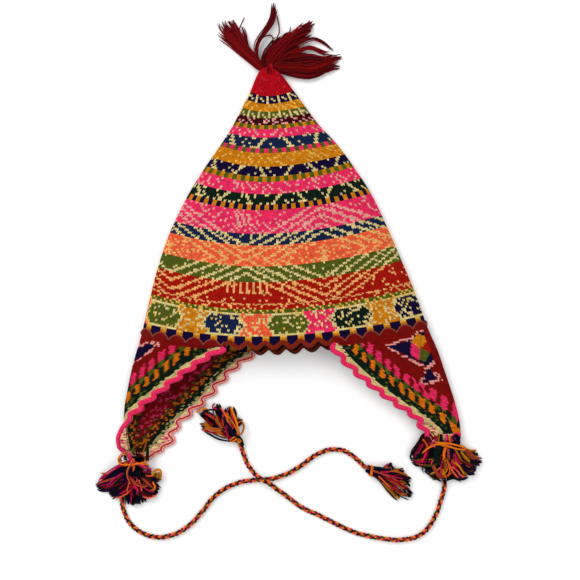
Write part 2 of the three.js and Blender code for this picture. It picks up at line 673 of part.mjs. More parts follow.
function tieGeometry(points, over) {
  const curve = new THREE.CatmullRomCurve3(tieRoute(points, over), false, "centripetal");
  const radius = CORD_DIAMETER / 2;
  const section = new THREE.Shape();
  for (let k = 0; k < CORD_SIDES; k += 1) {
    const angle = (2 * Math.PI * (k + 0.5)) / CORD_SIDES;
    const x = radius * Math.cos(angle);
    const y = radius * Math.sin(angle);
    if (k === 0) section.moveTo(x, y);
    else section.lineTo(x, y);
  }
  section.closePath();
  return new THREE.ExtrudeGeometry(section, {
    steps: Math.round(curve.getLength() / CORD_STEP),
    extrudePath: curve,
    bevelEnabled: false,
  });
}

const yarn = {
  crown: new THREE.MeshStandardMaterial({ color: 0xb5473c, roughness: 0.92, metalness: 0 }),
  edging: new THREE.MeshStandardMaterial({ color: 0x8c2f1c, roughness: 0.92, metalness: 0 }),
  flap: new THREE.MeshStandardMaterial({ color: 0x8a1418, roughness: 0.92, metalness: 0 }),
  flapEdging: new THREE.MeshStandardMaterial({ color: 0xd8386a, roughness: 0.92, metalness: 0 }),
  redYarn: new THREE.MeshStandardMaterial({ color: 0x7c0f14, roughness: 0.95, metalness: 0 }),
  mixedYarn: new THREE.MeshStandardMaterial({ color: 0x45305a, roughness: 0.95, metalness: 0 }),
  orangeYarn: new THREE.MeshStandardMaterial({ color: 0xd9741f, roughness: 0.95, metalness: 0 }),
  braid: new THREE.MeshStandardMaterial({ color: 0x9c4038, roughness: 0.92, metalness: 0 }),
};

const hat = new THREE.Group();
hat.position.x = HAT_AXIS_X;

function place(name, geometry, material) {
  const mesh = new THREE.Mesh(geometry, material);
  mesh.name = name;
  hat.add(mesh);
}

place("crown", crownGeometry(), yarn.crown);
place("brim_edging", brimEdgingGeometry(), yarn.edging);
for (const [name, flap] of [["left", LEFT_FLAP], ["right", RIGHT_FLAP]]) {
  const grid = flapGrid(flap);
  place(`ear_flap_${name}`, flapGeometry(grid), yarn.flap);
  place(`flap_edging_${name}`, flapEdgingGeometry(grid), yarn.flapEdging);
}
place("top_tassel", tasselGeometry("top_tassel"), yarn.redYarn);
for (const name of Object.keys(WRAPS)) {
  place(name, tasselGeometry(name), yarn.mixedYarn);
  place(name.replace("tassel", "tassel_wrap"), wrapGeometry(name), yarn.orangeYarn);
}
place("tie_cord_left", tieGeometry(LEFT_TIE, false), yarn.braid);
place("tie_cord_right", tieGeometry(RIGHT_TIE, true), yarn.braid);

export default hat;
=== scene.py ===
"""A knitted chullo lying on its back: stitches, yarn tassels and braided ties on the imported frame."""

import math

import bpy
import numpy as np
from bpy.props import FloatProperty, FloatVectorProperty, PointerProperty
from bpy.types import Operator, Panel, PropertyGroup
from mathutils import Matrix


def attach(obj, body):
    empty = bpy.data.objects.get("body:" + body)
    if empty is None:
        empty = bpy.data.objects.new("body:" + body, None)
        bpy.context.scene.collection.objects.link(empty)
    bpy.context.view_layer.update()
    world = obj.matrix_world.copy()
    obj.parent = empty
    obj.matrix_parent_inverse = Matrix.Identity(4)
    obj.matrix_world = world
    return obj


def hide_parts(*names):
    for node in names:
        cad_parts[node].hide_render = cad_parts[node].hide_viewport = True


bl_info = {
    "name": "Chullo Hat",
    "version": (1, 0, 0),
    "blender": (4, 5, 0),
    "location": "View3D > Sidebar > Chullo",
    "description": "Knits a chullo hat with its tassels and ties",
    "category": "Object",
}

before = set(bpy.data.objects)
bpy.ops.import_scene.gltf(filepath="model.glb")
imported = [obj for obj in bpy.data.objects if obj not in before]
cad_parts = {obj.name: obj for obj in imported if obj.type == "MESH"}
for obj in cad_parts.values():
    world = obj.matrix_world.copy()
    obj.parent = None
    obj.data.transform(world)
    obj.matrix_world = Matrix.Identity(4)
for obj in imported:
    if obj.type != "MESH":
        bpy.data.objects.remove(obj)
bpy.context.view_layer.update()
MM = 0.001
SEED = 7
UP = np.array([0.0, 0.0, 1.0])
NO_LENGTH = 1e-9
# A tube's frame is taken from a direction this little off upright, so a tube may stand on end
OFF_UPRIGHT = 1e-4

# A band with at least twice this many rows is knitted in two tiers, so its stitches stay even
TIER_ROWS = 5
CROWN_START = 1.2

# The crown's form, in millimetres from the hat's own axis
HAT_AXIS_X = 4.6
KNIT_THICK = 3.0
POINT_Y = 179.0
CROWN_LENGTH = 264.0
BACK_STRETCH = 1.0245
FOLD_RADIUS = 6.5
HEM_LIFT = 0.8
LIFT_FROM = 235.0
FLAP_START = CROWN_LENGTH + 6.8
RIM_DOWN = CROWN_LENGTH + 3.0
# How the front and the back half bow up from the fold, and how round the front is
FRONT_BOW = 2.2
FRONT_ROUND = 0.55
BACK_BOW = 2.2
# Steps for measuring the crown: round it, down it, and points in one ring, just short of a whole turn
TURN_STEP = 0.002
DOWN_STEP = 0.5
RING_STEPS = 721
ONCE_ROUND = 1 - 1e-9

CROWN_NAMES = ("down", "left_x", "left_y", "right_x", "right_y", "top")
CROWN_ROWS = [
    (0, 0, 179, 0, 179, 5),
    (1.5, -3.4, 178, 3.6, 178, 8.5),
    (7.7, -9.4, 173.2, 10, 172.8, 12),
    (31, -19, 154.4, 23.4, 152.8, 14.5),
    (63, -37.4, 123.1, 45.1, 119.5, 18),
    (86.2, -51.1, 104.2, 61.6, 99.3, 20.5),
    (114, -69.3, 80.8, 76.7, 76.2, 23),
    (140.9, -86.7, 55.4, 91.8, 49.4, 25.5),
    (174.5, -104.4, 23.7, 105, 17.2, 28.5),
    (209.4, -118, -9.5, 117.4, -17, 31),
    (239.1, -127.3, -38.2, 127.9, -47, 33),
    (264, -135.4, -65.8, 136, -74.6, 34),
    (279, -140, -82, 140.4, -91, 34),
]
# The front's soft folds: x at the brim and at the point, half width, reach and depth
SOFT_FOLDS = [(-66, -14, 20, 190, 2.2), (14, 6, 15, 120, 1.3), (88, 22, 19, 205, 2.4)]

# How much narrower a soft fold is at the point, and how far above the brim it is at its deepest
SOFT_NARROWING = 0.5
SOFT_FULL = 40

# The ear flaps, a row for each section from the brim to the neck
FLAP_NAMES = ("row", "front_x", "front_y", "fold_x", "fold_y", "back_x", "back_y", "top", "radius", "rise")
FLAPS = {
    "left": {
        "side": -1,
        "front_share": 0.43,
        "back_share": 0.24,
        "rows": [
            (1, -79, -97, -144.4, -92, -52, -107.5, 30, 6.5, 115),
            (2, -101, -110, -149.4, -107, -69, -122, 26, 6.3, 90),
            (3, -124, -125.5, -154, -124, -84, -137.5, 21, 6, 64),
            (4, -146, -141, -158, -140, -99, -149, 16.5, 5.6, 42),
            (5, -157.4, -153, -159.8, -153.4, -111, -159.5, 12, 4.8, 24),
            (6, -158.8, -165, -160, -165.4, -121.5, -170, 9, 4, 14),
            (7, -158.4, -176, -159.2, -176.4, -131, -180, 8, 3.7, 10),
            (8, -157, -186.4, -157.8, -186.8, -141, -188, 8, 3.7, 10),
        ],
    },
    "right": {
        "side": 1,
        "front_share": 0.34,
        "back_share": 0.46,
        "rows": [
            (1, 58.6, -107.6, 147, -106, 78, -108, 30, 6.3, 115),
            (2, 77, -127, 152, -124, 94, -126, 25.5, 6, 96),
            (3, 98.4, -146, 157.6, -144.6, 111, -144, 21, 5.7, 76),
            (4, 121.6, -164.4, 162, -162.6, 130, -162, 17, 5.3, 56),
            (5, 136.6, -177, 164, -176, 142.6, -176, 14, 5, 42),
            (6, 145, -186, 164.4, -187, 149, -187, 12, 4.8, 34),
        ],
    },
}

# Steps from a flap's fold to an edge, and from one section to the next for its rows and its rim
FLAP_STEPS = 60
FLAP_FINE = 12
RIM_FINE = 16
# Rows of a flap that are knitted together, and the fewest stitches in one
FLAP_TIER = 4
FLAP_LEAST = 6

# Tassels: neck, head, half sizes of the neck, the wound yarn's start, length and build, and the
# locks with their tip, width, height and swing
TASSELS = {
    "top_tassel": {
        "neck": (-0.4, 178.5), "head": (-0.4, 188), "half": (5.4, 5.2), "wrap": None,
        "yarns": (), "stray": (), "slot": "red_yarn",
        "locks": [
            (-38, 224, 19, 12, -3),
            (-19, 229.6, 7, 7, -7),
            (9, 238.2, 11, 10, 7),
            (44, 219.4, 20, 15, 4),
            (60, 195, 22, 17, 2),
            (68.4, 181, 20, 15, -2),
            (51, 166.6, 16, 12, -8),
        ],
    },
    "flap_tassel_left": {
        "neck": (-149.6, -190.7), "head": (-151, -209), "half": (10, 4.4), "wrap": (6.6, 8, 3),
        "yarns": ("navy", "black", "navy", "maroon"), "slot": "mixed_yarn",
        "stray": ("coral", "magenta", "wine", "bottle"),
        "locks": [
            (-192, -217.6, 16, 12, -4),
            (-179, -226.6, 19, 14, -2),
            (-157, -238.4, 15, 16, 0),
            (-146, -236.6, 19, 15, 2),
            (-131, -227, 18, 14, 3),
            (-127, -209, 14, 12, 5),
        ],
    },
    "flap_tassel_right": {
        "neck": (154.6, -191.8), "head": (150, -210), "half": (13.4, 5.6), "wrap": (6, 6.4, 3),
        "yarns": ("navy", "black", "navy", "maroon"), "slot": "mixed_yarn",
        "stray": ("orange", "coral", "magenta", "gold", "wine", "olive"),
        "locks": [
            (115.6, -209.6, 16, 13, -3),
            (131, -226, 20, 15, -2),
            (147, -231.6, 18, 16, 0),
            (166, -232, 20, 15, 1),
            (178.4, -224, 17, 13, 2),
            (184.6, -215, 13, 11, 2),
            (180.6, -207.4, 10, 9, 5),
        ],
    },
    "cord_tassel_left": {
        "neck": (71.6, -215.6), "head": (85, -222), "half": (3.6, 3.4), "wrap": (5.6, 6, 1.6),
        "yarns": ("navy", "black", "maroon"), "slot": "mixed_yarn",
        "stray": ("orange", "coral", "gold", "magenta", "crimson"),
        "locks": [
            (96.4, -211.4, 7, 7, 2),
            (108.6, -219.6, 14, 11, 2),
            (114, -231, 15, 13, 0),
            (114, -245.6, 14, 12, 0),
            (103, -247.4, 12, 10, 0),
        ],
    },
    "cord_tassel_right": {
        "neck": (-50.2, -181.8), "head": (-60.6, -171.4), "half": (3.6, 3.4), "wrap": (5.6, 6, 1.6),
        "yarns": ("navy", "black", "maroon"), "slot": "mixed_yarn",
        "stray": ("orange", "coral", "gold", "magenta", "crimson"),
        "locks": [
            (-88, -166.4, 13, 10, 1),
            (-86.4, -151.4, 15, 12, 0),
            (-71, -145, 16, 13, 0),
            (-57, -147.4, 14, 12, -1),
            (-45, -161, 10, 9, -4),
        ],
    },
}
# The hanks that stand out: yarn, height, half width where it starts and ends, and its middle line
HANKS = {
    "top_tassel": [
        ("wine", 6, 4.5, 5, [(-1.5, 176.3), (-2.4, 183.4), (1.2, 191.2), (8.3, 198.8), (16.7, 205.4)]),
        ("wine", 7, 4.5, 5, [(3.4, 176.8), (4.8, 185.7), (11.6, 194.1), (20.9, 200.7), (30, 205.5)]),
        ("wine", 5, 3, 4, [(16.2, 197.4), (26.4, 204.8), (37.6, 212.1), (47.8, 219.5)]),
        ("wine", 5, 2.5, 3.2, [(-5.4, 178.3), (-12.1, 185.8), (-17.8, 193.2), (-20.9, 201.4),
                (-22.1, 210.4), (-24.6, 220.3)]),
        ("wine", 5.5, 1.2, 4.4, [(-8.4, 179.3), (-9.9, 191.9), (-7.5, 202.4), (-1.2, 210), (4, 216.4),
                (8.3, 224.6), (9.8, 235.2), (10.2, 241.4)]),
        ("wine", 5, 2.5, 2.5, [(37.4, 180.1), (50.7, 179.3), (62.4, 181.7), (72.4, 184.7)]),
        ("wine", 5, 2.5, 2, [(41.4, 171.9), (54.6, 170.6), (63.7, 173.6), (70.9, 174.5)]),
        ("crimson", 12.4, 5.5, 0.6, [(1.2, 169.9), (1.7, 174.3), (2, 178.7), (2.3, 183.1)]),
        ("wine", 5, 3.5, 3.2, [(9.4, 172.9), (19, 170.4), (29.6, 168), (39.3, 166.9), (49.2, 168.6),
                (56.4, 171)]),
        ("wine", 5, 5.5, 7, [(-0.5, 176.6), (0, 181), (0.5, 186)]),
        ("wine", 5, 3, 7.5, [(-2.9, 174.6), (-10.4, 183), (-18.8, 192.4), (-25.3, 201.7), (-31.9, 211),
                (-37.9, 221.1), (-39.4, 226.6)]),
        ("wine", 5, 2.4, 5, [(-5.7, 173.8), (-14.9, 183.3), (-24.1, 192.7), (-33.2, 203.1),
                (-41.6, 211.6), (-45.8, 216.3)]),
        ("wine", 5, 2, 4.5, [(-3.8, 175.5), (-11.1, 186.6), (-18.5, 196.8), (-23.3, 206), (-28.8, 217),
                (-33.6, 226.2)]),
        ("wine", 6, 5, 5, [(5.3, 178.5), (14.7, 186.8), (24, 193.4), (31.4, 198.3)]),
        ("wine", 5, 5, 3, [(5.2, 177.6), (18, 182.2), (30.6, 185.9), (39.6, 187.1)]),
        ("wine", 6, 4, 4, [(1.7, 178.7), (5.9, 189.1), (11.8, 197.7), (19.4, 205.2), (26.8, 210.1)]),
        ("wine", 4, 0.3, 0.2, [(-29.4, 207.3), (-24.7, 218.6), (-19, 229.8)]),
        ("wine", 5, 1.6, 3.6, [(-7.2, 177.5), (-10.5, 190.1), (-10.2, 199), (-5.5, 206.7), (0.7, 213.5),
                (5.7, 222.1), (8, 229.9), (9, 240.5)]),
        ("wine", 5, 0.9, 0.6, [(-4.2, 182.6), (-2.7, 193.2), (3, 199.1), (6.6, 203.3), (5.7, 207.8),
                (2.7, 209.3), (-1.8, 208.3), (-5.5, 205.8)]),
        ("wine", 4, 0.4, 0.3, [(9.6, 204.9), (12.5, 210.1), (12.6, 219), (11.1, 229.7)]),
        ("wine", 8, 3.5, 6, [(-0.1, 179.6), (7.8, 190.8), (17.2, 199.1), (26.5, 205.7), (35.8, 212.2),
                (43.2, 217.1)]),
        ("wine", 6, 1.6, 0.3, [(3.7, 182.2), (11.6, 194.1), (19.3, 203.5), (22.8, 211.2),
                (24.8, 220.9)]),
        ("wine", 7, 4, 4, [(3.6, 180.4), (18.8, 195.5), (29.8, 201), (39, 205.8), (44.4, 207.3)]),
        ("wine", 5, 2.4, 1.6, [(5.4, 180.3), (20.3, 191.8), (35, 198.9), (45.8, 201.9), (54.5, 197.8),
                (60.4, 192.1), (64.6, 189.2)]),
        ("wine", 5, 3, 3, [(5.4, 180.3), (20.1, 188.3), (32.8, 192), (40.9, 194.1), (49.6, 190.9),
                (56.6, 187.9), (63.3, 188.3)]),
        ("wine", 7, 4, 4, [(5.2, 179), (16.1, 181.4), (28.7, 183.3), (40.3, 183.5), (51.7, 181),
                (62.4, 182.2), (67.4, 183.6)]),
        ("wine", 9, 5.5, 4, [(5.5, 178.6), (14.9, 176.6), (28.2, 175.3), (41.5, 173.7), (53.2, 176.5),
                (62.3, 179.5), (67.3, 181.9)]),
        ("wine", 6, 4.5, 3, [(7, 177.4), (17.4, 173), (27.9, 169.6), (39.3, 168), (49.3, 170.5),
                (57.5, 174.9), (65.6, 174.9)]),
    ],
    "flap_tassel_left": [
        ("navy", 6, 3, 2.6, [(-161.6, -198.2), (-169.9, -201.8), (-177.1, -205.8), (-182.9, -210.2),
                (-187.2, -214.4)]),
        ("navy", 7.5, 3, 2.5, [(-156, -194.5), (-166, -200), (-176, -207), (-186, -213.5)]),
        ("navy", 7.8, 3, 3.5, [(-156.1, -193.8), (-164.1, -203.6), (-173.3, -210.4), (-182.4, -215),
                (-191.4, -217.4)]),
        ("black", 6.5, 3, 3, [(-156.1, -193.8), (-165.7, -206.5), (-173.5, -213.3), (-179, -218.9),
                (-183.6, -222.3)]),
        ("navy", 9.1, 3, 3, [(-153.2, -194), (-160.7, -208.2), (-165.6, -216.8), (-168.3, -224),
                (-165.5, -226.3)]),
        ("bottle", 6.5, 3, 1.3, [(-151.7, -194.1), (-157.1, -209.9), (-160.6, -218.5), (-161.9, -228.8),
                (-162.9, -238.3)]),
        ("wine", 7.8, 2.5, 2, [(-155.6, -210), (-161.4, -220), (-165.4, -225.6), (-168.7, -231.3)]),
        ("magenta", 10.4, 1.5, 1.6, [(-156.2, -195.3), (-166.7, -198.3), (-175.8, -202.9),
                (-182.8, -208.4), (-188.3, -213.9), (-190.6, -216.7)]),
        ("gold", 6.5, 0.9, 0.7, [(-171.9, -199.5), (-179.6, -204.1), (-186.6, -204.8)]),
        ("magenta", 11.7, 1.5, 1.5, [(-162.7, -205.2), (-172.7, -211.9), (-178.5, -217.5),
                (-180.7, -222.5)]),
        ("bottle", 10.4, 1.6, 1.4, [(-159.7, -203.9), (-167.6, -212.2), (-173.8, -217.7),
                (-176.2, -222)]),
        ("black", 9.1, 3, 2.5, [(-147.4, -195.8), (-147.1, -203.2), (-143.1, -209.3), (-142, -215.2),
                (-144.3, -217.3)]),
        ("bottle", 9.1, 2, 1.5, [(-144.5, -196), (-140.4, -202.1), (-137.8, -207.4), (-134.5, -212.8)]),
        ("wine", 7.8, 2.4, 2, [(-153.2, -217.5), (-147.7, -224.5), (-140.6, -228.6), (-134.7, -228.9)]),
        ("black", 7.8, 2.2, 0.9, [(-148.9, -220.7), (-141.9, -225.6), (-136.1, -227),
                (-130.7, -226.6)]),
        ("black", 6.5, 1.6, 0.4, [(-150.6, -223.6), (-150.1, -230.9), (-149.6, -238.3)]),
        ("orange", 11.7, 1.2, 1.2, [(-158.4, -195.1), (-163.6, -195.9), (-166, -193.2),
                (-164.7, -188.9), (-160.9, -186.9), (-158.8, -188.8), (-159.8, -192.8)]),
        ("pink", 13, 1.6, 1.8, [(-155.7, -186.1), (-154.1, -190.2), (-156.2, -194.5),
                (-158.3, -198.4)]),
        ("coral", 14.3, 1.3, 1.5, [(-150.2, -193.4), (-155.7, -198.2), (-158.8, -203.9),
                (-158.2, -209.9), (-156.4, -215.9), (-156.3, -220.3), (-158, -224.6),
                (-156.7, -226.9)]),
        ("coral", 13, 1.2, 1, [(-155.5, -195.3), (-152, -199.2), (-153, -202.8), (-156.8, -204.1)]),
        ("pink", 14.3, 1.6, 1.6, [(-150.3, -194.9), (-145.4, -198.1), (-140.4, -201.4),
                (-137.3, -204.1), (-138.7, -207.4)]),
        ("coral", 13, 1.5, 1.8, [(-154.9, -210.1), (-150.8, -215.1), (-145.1, -217.6), (-139.9, -217.2),
                (-136.1, -215.6)]),
        ("magenta", 10.4, 2, 2, [(-153.9, -218.2), (-150.4, -221.4), (-150.4, -226.2),
                (-153.8, -228.5)]),
        ("gold", 9.1, 1.3, 1.3, [(-135.8, -209.7), (-132.1, -204.8), (-127.4, -204.7), (-127.3, -210.2),
                (-129.8, -215.2), (-132.7, -214.3)]),
        ("orange", 10.4, 1.9, 1.6, [(-134.6, -215), (-132.3, -220.2), (-134.4, -223.4),
                (-139.3, -225)]),
        ("coral", 6.5, 0.9, 0.7, [(-147.2, -228.2), (-140.7, -230.6), (-134.7, -229.5),
                (-131.4, -227.3)]),
        ("bottle", 16, 2.4, 2.2, [(-138, -179.8), (-137.9, -187), (-139.5, -196.2)]),
        ("maroon", 17, 2.8, 2.8, [(-146.5, -182.7), (-146.8, -188), (-147, -191.9)]),
        ("olive", 16.5, 1.8, 1.8, [(-151.2, -180.7), (-151.3, -185), (-151.3, -189.4)]),
        ("orange", 17, 1, 0.9, [(-138.3, -175.4), (-140.2, -180.8), (-142.3, -186.7), (-140, -195.7)]),
        ("coral", 14.8, 1.8, 1.5, [(-151.9, -190.6), (-154.4, -196.5), (-152.5, -202.1)]),
        ("black", 14, 3.6, 3.6, [(-147.1, -203.6), (-146.2, -208), (-144.4, -212.5)]),
        ("gold", 9.1, 2.2, 2.4, [(-130.2, -206.8), (-130.2, -210), (-130.6, -213.3)]),
        ("orange", 12, 1.8, 2, [(-162.5, -187.1), (-164.5, -190.9), (-164.3, -195.3)]),
        ("maroon", 11.5, 1.8, 1.8, [(-159.9, -188.5), (-160, -191), (-160.3, -193.9)]),
    ],
    "flap_tassel_right": [
        ("maroon", 5.5, 5, 4, [(138.4, -182.2), (133.2, -188), (129.1, -194.5), (125.7, -200.4),
                (123.6, -205.2)]),
        ("maroon", 6, 4, 3, [(130.9, -185.4), (126.2, -192.5), (122.2, -197.8), (118.8, -203.1),
                (117.5, -208.5)]),
        ("maroon", 7.5, 3, 2.5, [(139.6, -183.5), (136.8, -189.4), (134, -194.8), (130, -200.7)]),
        ("orange", 14.4, 1, 0.9, [(125.2, -202.8), (130.1, -198.8), (136.4, -195.9), (142.6, -195),
                (148.5, -197.8), (154.6, -199.4), (159.6, -197.6), (163.4, -195.6)]),
        ("wine", 8.4, 4.5, 4, [(134.5, -186.8), (132.7, -195.9), (129.1, -205.5), (126.7, -214),
                (125.8, -218.2)]),
        ("black", 8.4, 4.5, 4, [(140, -187.2), (136.3, -197.4), (132, -208.2), (129.5, -217.8),
                (131, -224)]),
        ("bottle", 9.6, 4.5, 3.5, [(144.3, -187.4), (141.8, -197.7), (138.7, -208.6), (136.3, -218.2),
                (135.8, -225.6)]),
        ("wine", 8.4, 4, 4, [(149.1, -187.7), (147.2, -199.9), (144, -212), (141, -221),
                (141.8, -228.4)]),
        ("black", 8.4, 4, 3, [(154, -188), (153.3, -200.2), (153.8, -211.9), (157, -219.5),
                (161.5, -226.5)]),
        ("navy", 9.6, 4, 3, [(159, -187.7), (159, -197.5), (160.8, -207.4), (167, -216.4),
                (177.1, -221.9)]),
        ("black", 7.2, 1.2, 1.3, [(127, -189.5), (125.1, -195.5), (119.6, -200), (115.6, -205.3),
                (115.3, -208.4), (117.6, -212.2)]),
        ("magenta", 9.6, 1.9, 1.6, [(127.3, -194.4), (122.6, -200.2), (119.3, -204.9),
                (118.4, -209.2)]),
        ("bottle", 9.6, 1.6, 1.4, [(128.7, -200.6), (123.5, -206.4), (121.4, -210.6), (122.4, -213.7)]),
        ("magenta", 12, 1.5, 1.4, [(130, -200.7), (127.5, -206.7), (125.5, -210.8), (124.8, -215.7)]),
        ("orange", 10.8, 1.4, 1.2, [(126.6, -190), (129.4, -193.9), (130.9, -197.7), (128.1, -201.8),
                (125.4, -205.3)]),
        ("orange", 12, 1.4, 1.2, [(142.6, -185.2), (142, -189.7), (140.1, -194.5), (137.5, -197.5)]),
        ("pink", 14.4, 2, 1.9, [(150.2, -186.3), (149.2, -191.4), (148.6, -196.3)]),
        ("orange", 14.4, 0.9, 0.9, [(152.3, -187), (152.6, -192.8), (151.6, -197.7)]),
        ("navy", 12, 3.2, 3, [(157.1, -187.6), (159.7, -190.8), (161.6, -194.6)]),
        ("bottle", 13.2, 2, 1.8, [(138.5, -201.2), (138.7, -208.6), (141.4, -214.2), (146.2, -216.1),
                (151.7, -217)]),
        ("orange", 14.4, 1.3, 1.2, [(148.5, -198.7), (146.3, -204.1), (146.1, -210.2),
                (144.1, -215.6)]),
        ("coral", 14.4, 1.3, 1.2, [(150.3, -199.5), (150.3, -206.8), (150.7, -214.8)]),
        ("navy", 13.2, 1.8, 1.6, [(152.8, -199), (153.2, -207), (153.7, -214.4)]),
        ("magenta", 14.4, 1.6, 1.5, [(156.1, -204.7), (158.5, -211), (161.8, -216.1), (164.4, -218.7)]),
        ("orange", 14.4, 1, 0.9, [(156.4, -199.8), (160.2, -207.4), (163.2, -213.1), (165.1, -217.2)]),
        ("gold", 12, 1.5, 1.4, [(162.3, -203.9), (166.2, -209.6), (170.2, -214.2), (172.4, -219.5)]),
        ("navy", 10.8, 2.6, 2.4, [(162.8, -216.2), (167.4, -220.7), (172.2, -222.9), (177.7, -223.2)]),
        ("black", 8.4, 2.2, 2.2, [(167.3, -211.5), (173.2, -215.6), (177.4, -218.3), (180, -220.9)]),
        ("coral", 8.4, 1.6, 2.6, [(158.4, -197.5), (163.7, -200.3), (169.6, -204.3), (175.5, -208.9),
                (180.1, -213.5), (182.7, -216.7)]),
        ("gold", 6, 0.9, 0.7, [(164.3, -200.3), (172.7, -204.2), (180.6, -205)]),
        ("coral", 10.8, 2, 2, [(153.5, -217.4), (158.2, -220.8), (162.7, -226.6), (167.4, -229.9)]),
        ("orange", 8.4, 1.4, 1.2, [(162.4, -222.3), (166.4, -226.2), (170.3, -228.9)]),
        ("coral", 10.8, 2, 2, [(135.2, -215.7), (138.4, -222.7), (141.2, -227.1), (146, -229.9)]),
        ("orange", 10.8, 1.4, 1.2, [(143.6, -219.3), (145.1, -224.3), (147.5, -230.3)]),
        ("coral", 9.6, 1.6, 1.4, [(153, -224.8), (149.2, -227), (146.6, -230.2)]),
        ("bottle", 4.8, 1, 1, [(148.3, -231.8), (154.6, -230.1), (161.8, -231.7), (166.1, -232),
                (170.2, -230.4)]),
        ("black", 4.8, 1.2, 1.2, [(127.5, -221.4), (134.5, -226.7), (141, -230.5), (145.1, -234.1)]),
        ("maroon", 13.8, 2.6, 2.4, [(129.8, -187.4), (133.2, -191.9), (136.6, -196.5)]),
        ("wine", 13.8, 2.2, 2, [(134.4, -183.9), (137.2, -187.7), (139, -193.8)]),
        ("black", 13.8, 2, 1.8, [(144.7, -185.7), (144.3, -190), (143.4, -194)]),
        ("black", 5.6, 1.7, 1.1, [(145.3, -229.5), (146.4, -233.2), (146, -236.9)]),
    ],
    "cord_tassel_left": [
        ("maroon", 7.2, 2, 2.2, [(76.6, -218), (84, -224.8), (89.5, -231), (95.9, -238.3),
                (100.5, -243.5), (104.3, -245.6)]),
        ("black", 5.4, 1.4, 1.4, [(76, -219.4), (82, -225.6), (88.4, -232.9), (95.3, -240.7),
                (100.4, -245.4), (103.3, -247.1)]),
        ("bottle", 9, 1.5, 0.9, [(75.8, -214.5), (82.7, -214.4), (89.4, -216.3), (96.7, -217.7),
                (104, -219.1), (107.3, -220.3)]),
        ("navy", 9, 2, 0.7, [(76.7, -215.5), (84.5, -217), (92.2, -218.9), (99.9, -221.8),
                (107.6, -223.3), (112.7, -229)]),
        ("black", 7.2, 0.9, 0.25, [(100.1, -218.9), (97.2, -216.8), (95.5, -213.7), (95.1, -211.2)]),
        ("navy", 9, 1.8, 1.5, [(77, -218.5), (85.1, -222.9), (92.6, -227.8), (100.7, -233.2),
                (110, -240.6)]),
        ("coral", 10.8, 1.2, 1.3, [(76.2, -216.5), (82.4, -218.8), (89.1, -222.1), (96.2, -225.5),
                (102.5, -227.9)]),
        ("crimson", 10.8, 1.2, 1.4, [(88.9, -225.1), (96.1, -227.5), (103.2, -231.8), (110.3, -236.2),
                (112.6, -238.3)]),
        ("coral", 10.8, 1, 1, [(82.2, -222.7), (86.8, -227.4), (90.9, -232.1), (95.6, -236.3),
                (100.7, -240)]),
        ("crimson", 10.8, 1.2, 1.3, [(92.4, -232.2), (97.1, -235.9), (101.8, -238.9), (106.5, -241.9)]),
        ("gold", 5.4, 0.9, 0.8, [(82, -225.2), (85.7, -229.8), (91.1, -236.5), (94.3, -240.6)]),
        ("orange", 7.2, 1.1, 1.2, [(97.9, -238.4), (105, -242.7), (111.3, -244.3)]),
        ("gold", 9, 0.9, 0.9, [(102.4, -228.8), (106.2, -230.5), (109.5, -233.7)]),
        ("black", 5.4, 1, 0.7, [(109.2, -230.2), (111.9, -234.3), (112.3, -236.3)]),
        ("black", 5.4, 0.9, 0.7, [(110.3, -244.3), (113.4, -245)]),
        ("coral", 6, 1.3, 1.9, [(69.4, -211.8), (72.4, -214.1), (76, -216.6)]),
    ],
    "cord_tassel_right": [
        ("black", 9, 2.4, 3, [(-48.8, -180.5), (-58.1, -172.6), (-66.3, -165.4), (-72.1, -159.5),
                (-74.3, -155.1)]),
        ("wine", 9, 2, 1.8, [(-50, -180.5), (-59.6, -176.2), (-66.7, -171.5), (-71.3, -166.9)]),
        ("navy", 6.3, 1.7, 1.6, [(-49.5, -181.7), (-59.8, -179.9), (-68.9, -177.5), (-75.4, -174),
                (-82.5, -169.9), (-86.8, -165.1)]),
        ("navy", 10.8, 2.8, 1.6, [(-49.9, -178), (-55.6, -171.5), (-60.6, -162), (-65.6, -153.8),
                (-70.4, -147.7)]),
        ("magenta", 7.2, 1.2, 1.1, [(-69, -149.6), (-73.5, -147.5), (-72.7, -145.1), (-69.9, -143.7)]),
        ("wine", 9, 1.4, 1, [(-49.7, -175.6), (-51.7, -166.9), (-54.8, -158.7), (-58.7, -152)]),
        ("orange", 10.8, 1.2, 1, [(-49.7, -174.4), (-50.1, -166.4), (-52.6, -157), (-56.6, -147.3)]),
        ("orange", 10.8, 0.9, 0.8, [(-50.7, -170.6), (-53.9, -163.7), (-58.4, -156.7),
                (-63.7, -152.4)]),
        ("orange", 9, 1.2, 1.2, [(-47.9, -175.7), (-44.9, -171), (-44.2, -165.5), (-46.5, -162.9),
                (-48.5, -164.6)]),
        ("magenta", 10.8, 1.4, 1.6, [(-59.8, -179.9), (-60.7, -173.7), (-62.7, -167.4), (-66.9, -164.7),
                (-70, -165.8)]),
        ("crimson", 10.8, 1.6, 1.6, [(-72.9, -163.8), (-77.6, -160.4), (-80.7, -154.7)]),
        ("black", 9, 0.9, 0.8, [(-66.7, -151.6), (-74.5, -149.5), (-81.1, -151), (-82.5, -154.6),
                (-79.5, -160.3), (-74.2, -163.7)]),
        ("gold", 7.2, 1.2, 1.2, [(-53.7, -180.3), (-62, -176.1), (-69.8, -171.9), (-76.2, -167.2),
                (-82.1, -163.8), (-86.3, -162.3)]),
        ("orange", 5.4, 1.1, 1, [(-78.2, -149), (-83, -148.1), (-86.8, -150), (-90.3, -152.3)]),
        ("orange", 9, 2, 1.8, [(-47.7, -181.8), (-52.4, -178.5), (-57.3, -178.2)]),
        ("black", 5.6, 1.6, 1, [(-48.2, -179), (-47.3, -183), (-46, -187.5)]),
    ],
}
HANK_STEPS = 18
SPLINE_STEPS = 24
